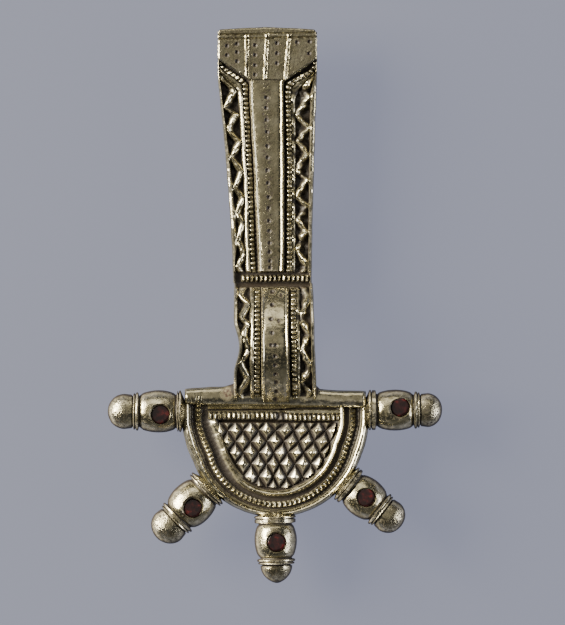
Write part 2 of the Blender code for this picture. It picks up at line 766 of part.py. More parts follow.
def catch():
    """The catch: a wall along the foot's back whose free edge is bent up into a gutter."""
    root = BACK_DEPTH + FITTING_ROOT
    lip_inner = CATCH_WALL + CATCH_GUTTER
    outline = [
        (0.0, 0.0),
        (lip_inner + CATCH_WALL, 0.0),
        (lip_inner + CATCH_WALL, CATCH_LIP_HEIGHT),
        (lip_inner, CATCH_LIP_HEIGHT),
        (lip_inner, CATCH_WALL),
        (CATCH_WALL, CATCH_WALL),
        (CATCH_WALL, root),
        (0.0, root),
    ]
    obj = flat_shape("catch", outline, CATCH_LENGTH)
    obj.rotation_euler = (math.pi / 2, 0.0, 0.0)
    obj.location = (CATCH_SIDE, CATCH_START_Y + CATCH_LENGTH / 2, 0.0)
    return obj


def bead_lines():
    """Every beaded line of the casting."""
    lines = []
    for side, (foot_path, bow_path) in zip(("left", "right"), side_bead_paths()):
        lines.append(bead_row(f"foot_beads_{side}", foot_path))
        lines.append(bead_row(f"bow_beads_{side}", bow_path, over_bow=True))
    band = [(edge + sign * RIM_WIDTH, BAND_Y) for edge, sign in zip(edges(BAND_Y), (1, -1))]
    lines.append(bead_row("band_beads", band, BAND_BEAD_WIDTH))
    lines.append(bead_row("arc_beads", head_path(BEAD_ARC_RADIUS)))
    top_y = HEAD_CENTRE_Y + TOP_BEADS_FROM_CENTRE
    top_line = [(-INNER_RIDGE_RADIUS, top_y), (INNER_RIDGE_RADIUS, top_y)]
    lines.append(bead_row("top_beads", top_line, floor=FIELD_FLOOR))
    return lines


def brooch_body(tools, collection, material):
    """The whole casting: foot, bow, head, bar, knobs, lugs and catch in one piece."""
    window = as_tool(field_outline(), tools)
    pyramids = pyramid_field()
    boolean(pyramids, window, "INTERSECT")
    panel = end_panel()
    for line in panel_lines():
        boolean(panel, as_tool(line, tools), "UNION")
    front = [head_border(), head_plate(), bar(), panel, *bead_lines()]
    front += [pyramids, *(knob(entry) for entry in KNOBS)]
    seats = [seat(entry.name, garnet_place(entry)) for entry in KNOBS]
    fittings = [lug("lug_left", -1), lug("lug_right", 1), catch()]
    steps = [(piece, "UNION") for piece in front]
    steps += [(piece, "DIFFERENCE") for piece in (back_trim(), *seats)]
    steps += [(piece, "UNION") for piece in fittings]
    steps.append((axle_hole(), "DIFFERENCE"))
    body = place(foot_and_bow(), collection, material)
    body.name = "brooch_body"
    for piece, operation in steps:
        boolean(body, as_tool(piece, tools), operation)
    tidy = body.modifiers.new("Merge flat faces", "DECIMATE")
    tidy.decimate_type = "DISSOLVE"
    tidy.angle_limit = FLAT_ANGLE
    return body


def back_trim():
    """A block under the plates that leaves their backs in one flat plane."""
    size = 2 * TOTAL_LENGTH
    thickness = 2 * BULB_RADIUS
    bpy.ops.mesh.primitive_cube_add(size=1.0)
    obj = just_added("back_trim")
    obj.scale = (size, size, thickness)
    obj.location.z = BACK_DEPTH + TRIM_DEPTH - thickness / 2
    return obj


def axle(collection, material):
    """The rod through the lugs that the spring is wound on."""
    length = LUG_SPACING + LUG_THICKNESS + 2 * AXLE_OVERHANG
    radius = AXLE_DIAMETER / 2
    bpy.ops.mesh.primitive_cylinder_add(vertices=ROUND_STEPS, radius=radius, depth=length)
    obj = just_added("pin_axle")
    for face in obj.data.polygons:
        face.use_smooth = len(face.vertices) == 4
    obj.rotation_euler = (0.0, math.pi / 2, 0.0)
    obj.location = (0.0, AXLE_Y, AXLE_Z)
    return place(obj, collection, material)


def spring_pin(collection, material):
    """One wire: three turns round the axle, then the straight pin beside the catch."""
    hinge = bpy.data.objects.new("pin_hinge", None)
    hinge.location = (PIN_X, AXLE_Y, AXLE_Z)
    collection.objects.link(hinge)
    points = []
    count = COIL_TURNS * COIL_POINTS_PER_TURN
    for i in range(count + 1):
        angle = 2 * math.pi * (i - count) / COIL_POINTS_PER_TURN - math.pi / 2
        shift = COIL_PITCH * (i - count) / COIL_POINTS_PER_TURN
        points.append((shift, COIL_RADIUS * math.cos(angle), COIL_RADIUS * math.sin(angle)))
    reach = CATCH_START_Y + CATCH_LENGTH + PIN_PAST_CATCH - AXLE_Y
    straight = (COIL_RADIUS, reach / 2, reach - PIN_TIP_TAPER, reach)
    low = -COIL_RADIUS
    for along in straight:
        points.append((0.0, along, low + PIN_RISE * along / reach))
    curve = bpy.data.curves.new("spring_pin", "CURVE")
    curve.dimensions = "3D"
    curve.bevel_depth = WIRE_DIAMETER / 2
    curve.bevel_resolution = 2
    curve.use_fill_caps = True
    spline = curve.splines.new("POLY")
    spline.points.add(len(points) - 1)
    for point, co in zip(spline.points, points):
        point.co = (*co, 1.0)
    spline.points[-1].radius = PIN_TIP_SHARE
    obj = bpy.data.objects.new("spring_pin", curve)
    obj.parent = hinge
    return place(obj, collection, material)


def main():
    for obj in list(bpy.data.objects):
        bpy.data.objects.remove(obj)
    collection = new_collection("bow_brooch")
    tools = new_collection("bow_brooch_tools")
    gilt = metal("silver_gilt", (0.42, 0.36, 0.22), 0.38)
    bronze = metal("pin_bronze", (0.28, 0.19, 0.10), 0.45)
    stone = metal("garnet_red", (0.07, 0.006, 0.008), 0.12, 0.0)
    brooch_body(tools, collection, gilt)
    for entry in KNOBS:
        place(garnet(entry.name, garnet_place(entry)), collection, stone)
    axle(collection, bronze)
    spring_pin(collection, bronze)


main()
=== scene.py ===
"""A cast silver-gilt bow brooch, chip-carved and garnet-set, lying on its back on a pale table.

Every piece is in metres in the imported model's frame: +Z out of the decorated front, +Y toward
the end of the foot. Lengths named in millimetres are turned to metres with MM.
"""
import math
import bmesh
import bpy
import numpy as np
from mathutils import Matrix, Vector, noise


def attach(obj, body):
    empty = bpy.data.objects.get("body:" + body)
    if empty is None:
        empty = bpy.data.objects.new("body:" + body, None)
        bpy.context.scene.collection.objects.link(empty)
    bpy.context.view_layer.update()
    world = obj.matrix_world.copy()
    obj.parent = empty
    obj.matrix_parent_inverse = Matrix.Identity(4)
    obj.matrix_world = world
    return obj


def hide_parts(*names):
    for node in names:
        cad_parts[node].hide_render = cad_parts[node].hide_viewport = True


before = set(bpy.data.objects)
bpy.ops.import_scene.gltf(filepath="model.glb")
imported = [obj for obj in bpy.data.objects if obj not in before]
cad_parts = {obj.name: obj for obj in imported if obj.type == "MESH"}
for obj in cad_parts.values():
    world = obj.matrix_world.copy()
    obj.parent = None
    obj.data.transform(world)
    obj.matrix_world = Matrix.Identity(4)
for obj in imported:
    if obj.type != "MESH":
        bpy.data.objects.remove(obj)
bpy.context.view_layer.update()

MM = 0.001

# The casting's main places, in millimetres
FOOT_END = 43.075
BOW_FOOT = 3.475
CROWN = -5.825
BOW_HEAD = -15.125
HEAD_CENTRE = -18.075
HEAD_RADIUS = 14.5
BEAD_LINE = 11.86
BACK = 5.52
# A hair: the least distance between carved lines, and between the backs of shells that overlap
HAIR = 0.02
BOW_RISE = 5.6
BOW_HALF = 9.3
BOW_THICKNESS_SHARE = 0.5 / 5.6

# Heights over the plates' back, in millimetres
FLOOR = 1.3
GROOVE = 1.42
RIM = 2.2
CREST = 2.12
RIDGE = 2.24
BEAD = 2.32
STRIP = 2.45
PANEL = 2.6
BAR = 2.9
BEVEL_FOOT = 1.7
PIT_FLOOR = 1.05
CHANNEL = 1.46
TOOTHED_RIDGE = 0.7

# The strip's rounded lip: how far in, and how far over the strip
LIP = ((0.0, -0.03), (0.12, 0.1), (0.24, 0.04), (0.33, -0.07), (0.5, 0.0))

# A chip-cut pit falls gently over a facet's width, then steeply
FACET_WIDTH = 0.26
FACET_SLOPE = 0.58
PIT_SLOPE = 1.3

# Beads and punched dots
BEAD_PITCH = 0.73
ROW_STEP = 0.14
PUNCH_RADIUS = 0.3
PUNCH_DEPTH = 0.24

# Carved lines of the foot and bow: place along, then how far in from the edge these lie: the
# zigzag field's outer side, its inner side, end of the smooth ridge, end of the beads, foot of
# the strip's bevel, top of the bevel
LEFT_LINES = (
    (38.6, 0.02, 0.04, 0.08, 0.12, 0.16, 0.2),
    (37.1, 0.02, 0.04, 0.06, 0.95, 2.6, 3.2),
    (35.9, 0.05, 0.2, 1.26, 2.86, 4.3, 4.7),
    (35.0, 0.25, 1.1, 2.75, 4.25, 4.8, 5.1),
    (34.2, 0.4, 2.1, 3.65, 4.65, 4.8, 5.05),
    (33.1, 0.45, 2.8, 3.7, 4.52, 4.7, 4.92),
    (31.85, 0.45, 2.8, 3.5, 4.38, 4.55, 4.78),
    (30.0, 0.5, 2.8, 3.45, 4.33, 4.45, 4.65),
    (24.1, 0.7, 2.5, 3.22, 4.08, 4.28, 4.5),
    (16.5, 0.95, 2.35, 2.95, 3.77, 4.0, 4.2),
    (12.6, 1.0, 1.95, 2.87, 3.6, 3.92, 4.14),
    (8.6, 0.8, 1.95, 2.75, 3.48, 3.9, 4.12),
    (6.1, 0.42, 1.95, 2.85, 3.6, 3.95, 4.15),
    (4.7, 0.5, 2.0, 2.9, 3.65, 3.95, 4.2),
    (2.4, 0.7, 2.45, 3.18, 4.12, 4.25, 4.42),
    (-3.8, 0.75, 2.45, 3.18, 4.08, 4.22, 4.4),
    (-11.5, 0.55, 2.42, 3.1, 4.05, 4.24, 4.44),
    (-15.1, 0.6, 2.46, 3.12, 4.05, 4.26, 4.46),
)
RIGHT_LINES = (
    (38.6, 0.02, 0.04, 0.08, 0.12, 0.16, 0.2),
    (36.6, 0.05, 0.1, 0.14, 0.95, 2.6, 3.2),
    (35.6, 0.3, 0.5, 1.2, 2.8, 4.2, 4.8),
    (34.6, 0.6, 1.7, 3.2, 4.8, 5.0, 5.35),
    (33.5, 0.95, 2.75, 3.98, 4.92, 5.06, 5.34),
    (31.85, 1.05, 3.18, 3.9, 4.86, 5.0, 5.26),
    (24.1, 0.93, 2.86, 3.44, 4.36, 4.62, 4.96),
    (8.6, 0.65, 2.5, 3.04, 3.94, 4.2, 4.52),
    (4.7, 0.7, 2.55, 3.1, 4.03, 4.3, 4.62),
    (2.4, 0.6, 2.05, 2.6, 3.5, 3.72, 3.96),
    (-3.8, 0.62, 2.2, 2.8, 3.72, 3.94, 4.18),
    (-11.5, 0.75, 2.4, 2.9, 3.8, 4.02, 4.26),
    (-15.1, 0.7, 2.46, 2.95, 3.86, 4.08, 4.32),
)

# Where each zigzag turns: place along, and its share of the way in across its field
LEFT_ZIGZAG = (
    (36.0, 0.3), (33.6, 1.0), (30.6, 0.0), (29.6, 0.85), (27.05, 0.0), (25.35, 1.0), (23.0, 0.0),
    (20.7, 1.0), (18.4, 0.0), (16.5, 1.0), (14.3, 0.0), (12.6, 1.0), (10.3, 0.0), (7.8, 1.0),
    (6.1, 0.1), (4.2, 0.9), (2.85, 0.5), (1.63, 0.0), (0.3, 1.0), (-1.8, 0.2), (-3.0, 1.0),
    (-4.7, 0.0), (-6.7, 1.0), (-8.8, 0.0), (-11.2, 1.0), (-13.7, 0.0), (-15.3, 0.8),
)
RIGHT_ZIGZAG = (
    (35.0, 0.9), (32.15, 0.0), (29.5, 1.0), (27.5, 0.0), (25.35, 1.0), (23.5, 0.0), (21.0, 1.0),
    (19.45, 0.0), (17.1, 1.0), (15.4, 0.0), (13.25, 0.95), (11.4, 0.15), (8.6, 1.0), (6.1, 0.0),
    (4.2, 0.6), (2.85, 0.5), (1.0, 0.1), (-1.6, 1.0), (-4.6, 0.1), (-6.9, 1.0), (-9.2, 0.0),
    (-11.85, 1.0), (-13.4, 0.1), (-15.3, 0.8),
)

# Punched dots, (across, along) in millimetres
STRIP_DOTS = (
    (-1.35, 32.2), (-1.4, 30.6), (-1.3, 28.75), (-1.25, 26.9), (-1.2, 24.7), (-1.15, 22.9),
    (-1.15, 21.0), (-1.1, 19.0), (-1.0, 16.8), (-1.0, 15.1), (-0.95, 13.1), (-0.9, 11.55),
    (-0.85, 9.7), (-0.85, 8.3), (-0.8, 6.9), (-0.8, 5.9), (-0.45, 2.1), (-0.45, 0.1),
    (-0.6, -2.1), (-0.45, -4.25), (-0.6, -6.1), (0.05, -6.1), (0.0, -7.8), (0.0, -9.2),
    (0.05, -10.6), (0.15, -11.85), (0.15, -13.25), (0.05, -14.5), (0.8, 1.6), (0.6, -2.4),
)
PANEL_DOTS = (
    (-7.45, 40.2), (-7.45, 38.75), (-5.9, 40.5), (-5.9, 39.2), (-5.9, 37.8), (-3.1, 40.3),
    (-3.1, 38.8), (-3.1, 37.2), (-3.1, 35.75), (0.3, 40.6), (0.3, 39.05), (0.3, 37.5),
    (3.4, 40.75), (5.35, 40.85), (5.27, 39.0),
)

# Cells in which the heights round a point are averaged, in millimetres
WEAR_CELL = 0.12

# Brown corrosion stains: across, along, size and strength
STAINS = (
    (-7.3, -13.6, 1.5, 1.0), (-6.6, -12.4, 1.0, 0.9), (4.4, 3.2, 1.5, 0.9), (-4.8, 2.9, 1.4, 0.7),
    (-3.6, -7.6, 1.2, 0.7), (4.6, -10.0, 1.6, 0.6), (4.9, 22.0, 1.8, 0.5), (-5.5, 5.2, 1.2, 0.6),
    (4.6, -14.0, 1.4, 0.7), (-4.6, -16.0, 1.3, 0.6), (12.9, -16.4, 0.9, 0.8), (2.0, 34.0, 1.0, 0.6),
)


def table(rows, column, along):
    """A carved line's distance in from the edge at every place along the brooch."""
    places = [row[0] for row in reversed(rows)]
    insets = [row[column] for row in reversed(rows)]
    return np.interp(along, places, insets)


def edges(y):
    """Left and right edge of the unworn foot or bow at a place along it."""
    if y < BOW_FOOT:
        share = (BOW_FOOT - y) / 18.6
        return -6.35, 5.85 + 0.65 * share
    share = min(1.0, (y - BOW_FOOT) / 31.25) ** 1.5
    return -(6.5 + 2.35 * share), 5.7 + 0.8 * share


def bow_rise(y):
    share = (y - CROWN) / BOW_HALF
    return BOW_RISE * max(0.0, 1.0 - share * share)


def worn_edge(y):
    """How far wear has eaten into the bow's left edge."""
    share = (y + 6.325) / 4.2
    if abs(share) >= 1.0:
        return 0.0
    return 0.85 * (1.0 + math.cos(math.pi * share)) / 2


def dot_line(along):
    """Where the strip's line of punched dots runs, across, at places along."""
    return np.interp(along, (-14.5, 0.0, 5.0, 32.0), (0.1, -0.35, -0.8, -1.4))


def smooth(value):
    value = min(1.0, max(0.0, value))
    return value * value * (3.0 - 2.0 * value)


def lumps(x, y, size, seed=0.0):
    """Even-tempered unevenness between about -1 and 1, with lumps of a size in millimetres."""
    return noise.noise(Vector((x / size, y / size, seed)))


def punch_marks(x, y, dots):
    """How deep the nearest punched dot goes here."""
    deepest = 0.0
    for dot_x, dot_y in dots:
        away = math.hypot(x - dot_x, y - dot_y) / PUNCH_RADIUS
        if away < 1.0:
            deepest = max(deepest, PUNCH_DEPTH * min(1.0, 1.6 * (1.0 - away)))
    return deepest


def bead(across, along, fullness=2.4):
    """Share of a bead's height: across runs from -1 to 1, along counts beads."""
    if abs(across) >= 1.0:
        return 0.0
    phase = abs(2.0 * (along % 1.0) - 1.0)
    return (1.0 - across ** 4) ** 0.6 * (0.12 + 0.88 * (1.0 - phase ** fullness) ** 0.8)


def deselect():
    bpy.ops.object.select_all(action="DESELECT")


def pick(obj):
    """Selects this piece alone."""
    deselect()
    obj.select_set(True)
    bpy.context.view_layer.objects.active = obj


def edit(action="SELECT"):
    """Goes into edit mode with all points selected, or none."""
    bpy.ops.object.mode_set(mode="EDIT")
    bpy.ops.mesh.select_all(action=action)


def edit_done():
    bpy.ops.object.mode_set(mode="OBJECT")


def weld(gap):
    """Merges the selected points closer than a gap in metres, and turns the faces outward."""
    bpy.ops.mesh.remove_doubles(threshold=gap)
    bpy.ops.mesh.normals_make_consistent(inside=False)


def settle():
    """Puts an object's place, turn and size into its points."""
    bpy.ops.object.transform_apply(location=True, rotation=True, scale=True)


def numbers(obj, kind="co"):
    """Every point's place or normal, as rows of three."""
    values = np.empty(len(obj.data.vertices) * 3)
    obj.data.vertices.foreach_get(kind, values)
    return values.reshape(-1, 3)


def placed(name, data):
    """An object with this data, in the scene."""
    obj = bpy.data.objects.new(name, data)
    bpy.context.scene.collection.objects.link(obj)
    return obj


def new_mesh(name, points, faces, lines=()):
    mesh = bpy.data.meshes.new(name)
    mesh.from_pydata(points, lines, faces)
    return placed(name, mesh)


def face_outward(obj):
    """Turns every face of a closed shell outward."""
    bm = bmesh.new()
    bm.from_mesh(obj.data)
    bmesh.ops.recalc_face_normals(bm, faces=bm.faces)
    bm.to_mesh(obj.data)
    bm.free()
    return obj


def lofted(name, rings):
    """A closed shell through closed rings of equal count, in millimetres."""
    count = len(rings[0])
    points = [(x * MM, y * MM, z * MM) for ring in rings for x, y, z in ring]
    faces = []
    for row in range(len(rings) - 1):
        near = row * count
        far = near + count
        for i in range(count):
            j = (i + 1) % count
            faces.append((near + i, near + j, far + j, far + i))
    faces.append(tuple(range(count)))
    faces.append(tuple(range(len(points) - count, len(points))))
    return face_outward(new_mesh(name, points, faces))


def relief(name, rows, back):
    """A closed shell whose top is a net of points and whose back is flat, in millimetres. Shells
    that overlap have their backs a hair apart, because backs in one plane would show as black."""
    rings = []
    for row in rows:
        first = row[0]
        last = row[-1]
        rings.append([(first[0], first[1], back)] + row + [(last[0], last[1], back)])
    return lofted(name, rings)


def bead_track(lines):
    """For each row of the foot and bow: the count of beads so far, and the way they run."""
    rows = row_places()
    middle = (table(lines, 3, rows) + table(lines, 4, rows)) / 2
    slope = np.gradient(middle, rows)
    stretch = np.sqrt(1.0 + slope * slope)
    counts = np.concatenate(([0.0], np.cumsum(np.abs(np.diff(rows)) * stretch[1:] / BEAD_PITCH)))
    return counts, slope, stretch


def row_places():
    """Places along the foot and bow, closer together where the beads turn off at the panel."""
    fine = np.arange(38.6, 33.2, -0.1)
    even = np.arange(33.2, BOW_HEAD - ROW_STEP, -ROW_STEP)
    return np.concatenate((fine, even))


def half_relief(lines, wave, crest, wear, track, ridge, bead_lift):
    """One side of the carved foot or bow, from the edge inward: distance in and height."""
    middle, count, slope, stretch = track
    outer, inner, ridge_end, bead_end, bevel_foot, bevel_top = lines
    outer += wear
    turn = outer + 0.08 + (inner - outer - 0.16) * wave
    rim_in = wear + 0.3 + 0.5 * (outer - wear - 0.4)
    points = [(wear, 0.4), (wear, 1.6), (wear + 0.06, 1.95), (mixed(wear, rim_in, 0.45), RIM - 0.04),
              (rim_in, RIM)]
    outer_low = pit_height(crest, turn - outer)
    points.append((mixed(rim_in, outer, 0.6), mixed(RIM, outer_low, 0.6)))
    for i in range(6):
        inset = mixed(outer, turn - 0.05, i / 5)
        points.append((inset, pit_height(crest, turn - 0.05 - inset)))
    for i in range(6):
        inset = mixed(turn + 0.05, inner, i / 5)
        points.append((inset, pit_height(crest, inset - turn - 0.05)))
    width = ridge_end - inner
    for share, lift in ((0.06, 0.35), (0.25, 0.75), (0.5, 0.95), (0.75, 1.0), (0.95, 0.9)):
        points.append((inner + width * share, mixed(FLOOR, ridge, lift)))
    half = max(0.05, (bead_end - ridge_end) / 2 + 0.04)
    for across in (-1.0, -0.85, -0.6, -0.3, 0.0, 0.3, 0.6, 0.85, 1.0):
        offset = across * half
        along = count - offset * slope / stretch / BEAD_PITCH
        points.append((middle + offset, GROOVE + bead_lift * bead(across, along)))
    points.append((bevel_foot, BEVEL_FOOT))
    points += [(bevel_top + inset, STRIP + lift) for inset, lift in LIP]
    return points


def pit_height(crest, away):
    """Height in a chip-cut pit at this distance from the zigzag's crest."""
    gentle = min(FACET_WIDTH, max(0.0, away))
    steep = max(0.0, away - FACET_WIDTH)
    return crest - min(crest - PIT_FLOOR, FACET_SLOPE * gentle + PIT_SLOPE * steep)


def mixed(start, end, share):
    return start + (end - start) * share


def carving_depth(y):
    """1 where the foot and bow are carved, 0 in the plain channels beside the band."""
    foot = smooth((y - 5.0) / 0.35)
    bow = smooth((2.95 - y) / 0.35)
    return max(foot, bow)


def foot_and_bow():
    """The long tapering foot and the arched bow, with all their carved lines."""
    rows = row_places()
    sides = []
    for lines, waves in ((LEFT_LINES, LEFT_ZIGZAG), (RIGHT_LINES, RIGHT_ZIGZAG)):
        columns = [table(lines, column, rows) for column in range(1, 7)]
        wave = table(waves, 1, rows)
        sides.append((columns, wave, bead_track(lines)))
    dots_across = dot_line(rows)
    spread = (-0.4, -0.3, -0.2, -0.1, 0.0, 0.1, 0.2, 0.3, 0.4)
    rings = []
    for index, y in enumerate(rows):
        y = float(y)
        left, right = edges(y)
        rise = bow_rise(y)
        carved = carving_depth(y)
        tops = []
        for side, (columns, wave, track) in enumerate(sides):
            lines = rising([column[index] for column in columns])
            wear = worn_edge(y) if side == 0 else 0.0
            crest = CREST + 0.1 * lumps(0.0, y, 2.3)
            ridge = RIDGE - 0.12 + 0.12 * lumps(3.0, y, 1.9)
            bead_lift = BEAD - GROOVE - 0.2 + 0.15 * lumps(5.0, y, 4.0)
            if side == 1:
                crest += 0.5 * lumps(9.0, y, 1.3) - 0.2
                ridge = RIDGE - 0.4 + 0.4 * lumps(12.0, y, 1.2)
                bead_lift = BEAD - GROOVE
            here = ((lines[2] + lines[3]) / 2, *(part[index] for part in track))
            turn = min(1.0, max(0.0, float(wave[index]) + 0.14 * lumps(20.0 * side, y, 1.1)))
            points = half_relief(lines, turn, crest, wear, here, ridge, bead_lift)
            rough = (0.2, 0.38)[side]
            for i in range(6, 18):
                inset, height = points[i]
                points[i] = inset, height + rough * lumps(inset + 30 * side, y, 0.8)
            tops.append(under_panel(plain_between(points, carved), y))
        centre = float(dots_across[index])
        inner_left = left + tops[0][-1][0]
        inner_right = right - tops[1][-1][0]
        strip = [inner_left + (centre - 0.4 - inner_left) * share for share in (0.35, 0.7)]
        strip += [centre + step for step in spread]
        strip += [centre + 0.4 + (inner_right - centre - 0.4) * share for share in (0.3, 0.65)]
        under = BACK + rise * (1.0 - BOW_THICKNESS_SHARE)
        ring = [(left + worn_edge(y) + 0.05, y, under)]
        ring += [(left + inset, y, BACK + rise + height) for inset, height in tops[0]]
        for x in strip:
            height = mixed(GROOVE, STRIP, carved) + 0.03 - punch_marks(x, y, STRIP_DOTS) * carved
            height = mixed(height, GROOVE, smooth((y - 34.9) / 0.4))
            ring.append((x, y, BACK + rise + height))
        ring += [(right - inset, y, BACK + rise + height) for inset, height in reversed(tops[1])]
        ring.append((right - 0.05, y, under))
        rings.append(ring)
    return lofted("foot_and_bow", rings)


def rising(values):
    """The lines in order, never closer than a hair."""
    result = []
    for value in values:
        value = float(value)
        if result and value < result[-1] + HAIR:
            value = result[-1] + HAIR
        result.append(value)
    return result


def plain_between(points, carved):
    """Keeps the edge rim, and brings the rest down to the plain channel where not carved."""
    kept = points[:4]
    for inset, height in points[4:]:
        kept.append((inset, mixed(GROOVE, height, carved)))
    return kept


def under_panel(points, y):
    """Sinks the strip's bevel where it runs in under the end panel."""
    sunk = smooth((y - 34.9) / 0.4)
    kept = len(points) - len(LIP)
    return points[:kept] + [(inset, mixed(height, GROOVE, sunk)) for inset, height in points[kept:]]


def carved_patch(name, across, along, height, back):
    """A closed shell over a net of places, as high there as a function says."""
    rows = []
    for y in along:
        rows.append([(float(x), float(y), BACK + height(float(x), float(y))) for x in across])
    return relief(name, rows, back)


def junction_band():
    """The beaded band that crosses between foot and bow."""
    def height(x, y):
        fade = smooth((x + 5.3) / 1.6) * 0.35 + 0.65
        lift = fade * (BEAD - GROOVE + 0.1) * bead((y - 4.2) / 0.56, (x + 5.35) / 0.712, 1.5)
        return GROOVE - 0.06 + lift

    across = np.linspace(-5.35, 5.2, 116)
    return carved_patch("junction_band", across, np.linspace(3.4, 5.0, 17), height, BACK + 2 * HAIR)


def groove_across(y, start, end, x, width, depth):
    """Depth of a straight engraved line between two points, V-cut."""
    line_y = mixed(start[1], end[1], (x - start[0]) / (end[0] - start[0]))
    return depth * max(0.0, 1.0 - abs(y - line_y) / (width / 2))


def panel_line(x, y, top, foot):
    """How far from a raised line this point is, in millimetres, across the panel."""
    share = (top[1] - y) / (top[1] - foot[1])
    return x - mixed(top[0], foot[0], share), share


def end_panel():
    """The plain end of the foot: engraved lines, three double ridges and punched dots."""
    left, right = -8.87, 6.52
    ridges = (((-4.56, 42.0), (-4.45, 35.4), 0.24), ((-4.03, 42.0), (-3.75, 35.0), 0.03),
              ((-1.35, 42.05), (-1.74, 34.9), 0.24), ((-0.9, 42.05), (-1.2, 34.9), 0.03),
              ((2.09, 42.1), (1.46, 34.9), 0.22), ((2.66, 42.1), (1.98, 34.9), 0.02))
    rows = []
    across = np.linspace(left, right, 150)
    for level in np.linspace(0.0, 1.0, 74):
        row = []
        for x in across:
            x = float(x)
            share = (x - left) / (right - left)
            top = FOOT_END - 0.4 * (2.0 * share - 1.0) ** 2
            top -= 0.4 * (1.0 - smooth((x - left) / 0.35)) + 0.4 * (1.0 - smooth((right - x) / 0.5))
            low = max(34.74, 34.74 + 3.44 * (-3.9 - x) / 4.95, 34.74 + 3.44 * (x - 1.6) / 4.9)
            y = mixed(top, low, float(level))
            edge = min(x - left, right - x, top - y, (y - low) * 0.8)
            height = PANEL - 0.2 * (1.0 - smooth(edge / 0.3)) ** 2
            height -= groove_across(y, (-8.8, 41.93), (6.5, 42.3), x, 0.28, 0.25)
            height -= groove_across(y, (-8.8, 41.25), (6.5, 41.62), x, 0.3, 0.3)
            for start, end, lift in ridges:
                away, along = panel_line(x, y, start, end)
                if 0.0 <= along <= 1.0:
                    height += lift * max(0.0, 1.0 - abs(away) / 0.13)
                    height -= 0.5 * lift * max(0.0, 1.0 - abs(away - 0.25) / 0.12)
            height -= punch_marks(x, y, PANEL_DOTS)
            row.append((x, y, BACK + height))
        rows.append(row)
    return relief("end_panel", rows, BACK + HAIR)


def crossbar():
    """The half-round bar over the head, with cut marks near its left end."""
    rings = []
    for x in np.linspace(-14.0, 14.1, 190):
        x = float(x)
        top = float(np.interp(x, (-14.0, -10.0, -7.9, -6.9, -6.2, 6.2, 7.0, 9.0, 14.1),
                              (-12.95, -12.6, -12.6, -12.3, -12.0, -12.2, -13.0, -13.15, -13.25)))
        low = float(np.interp(x, (-14.0, 0.0, 14.1), (-15.42, -15.6, -15.95)))
        y = (top + low) / 2
        half = (top - low) / 2
        cut = 0.0
        for mark in (-13.2, -12.75, -12.2, -11.75, -11.35):
            cut = max(cut, 0.14 * max(0.0, 1.0 - abs(x - mark) / 0.14))
        end = 0.35 * (1.0 - smooth((14.05 - abs(x)) / 0.4))
        ring = [(x, y + half, BACK + HAIR)]
        for i in range(21):
            angle = math.pi * i / 20
            lost = cut * smooth(-math.cos(angle) + 0.6)
            reach = half - end - lost
            lift = (1.45 - end - lost) * abs(math.sin(angle)) ** 0.6
            ring.append((x, y + reach * math.cos(angle), BACK + BAR - 1.45 + lift))
        ring.append((x, y - half, BACK + HAIR))
        rings.append(ring)
    return lofted("crossbar", rings)


def head_top():
    """The fillet, groove and beaded line between the bar and the head's carved field."""
    def height(x, y):
        lean = smooth((x - 0.5) / 3.0)
        level = 2.0 + 0.3 * math.exp(-((y + 15.6) / 0.16) ** 2)
        level -= 0.75 * math.exp(-((y + 16.17 - 0.2 * lean) / 0.16) ** 2)
        line_y = -17.13 - 0.28 * lean
        level -= 0.6 * smooth((line_y + 0.75 - y) / 0.3)
        level -= 0.5 * math.exp(-((y + 17.97 + 0.08 * lean) / 0.15) ** 2)
        missing = 1.0 - smooth((abs(x - 0.9) - 0.6) / 0.5)
        lift = 0.65 * bead((y - line_y) / 0.55, (x + 10.4) / 0.732, 1.3) * (1.0 - 0.75 * missing)
        return level + lift + 0.25 * missing * lumps(x, y, 0.7)

    across = np.linspace(-10.4, 10.4, 176)
    return carved_patch("head_top", across, np.linspace(-15.2, -18.6, 34), height, BACK + 2 * HAIR)


# How far the head's hand-cut border strays outward from a true arc: degrees round, millimetres
BORDER_DRIFT = (
    (180, 0.0), (190, -0.42), (200, -0.65), (206, -0.65), (214, -0.3), (225, 0.1), (240, 0.5),
    (255, 0.75), (270, 0.9), (280, 0.9), (290, 0.76), (300, 0.62), (310, 0.45), (320, 0.22),
    (330, 0.0), (340, -0.25), (350, -0.1), (360, 0.15),
)


def border_drift(angle):
    degrees, shifts = zip(*BORDER_DRIFT)
    return float(np.interp(math.degrees(angle), degrees, shifts))


def drifted(radius, angle):
    """A radius of the border, with its outer edge held nearer to the true arc."""
    drift = border_drift(angle)
    edge = drift * (0.25 if drift > 0 else 0.6)
    share = min(1.0, max(0.0, (radius - 12.42) / 2.08))
    return radius + mixed(drift, edge, share)


def round_the_head(radius, steps):
    """Points down from the bar, round the head's half circle and up again."""
    top = BOW_HEAD + 0.05
    straight = top - HEAD_CENTRE
    arc = math.pi * 11.85
    total = arc + 2 * straight
    for i in range(steps + 1):
        along = total * i / steps
        if along < straight:
            yield -radius, top - along, along
        elif along > straight + arc:
            yield drifted(radius, 2 * math.pi), HEAD_CENTRE + (along - straight - arc), along
        else:
            angle = math.pi * (1.0 + (along - straight) / arc)
            reach = drifted(radius, angle)
            yield reach * math.cos(angle), HEAD_CENTRE + reach * math.sin(angle), along


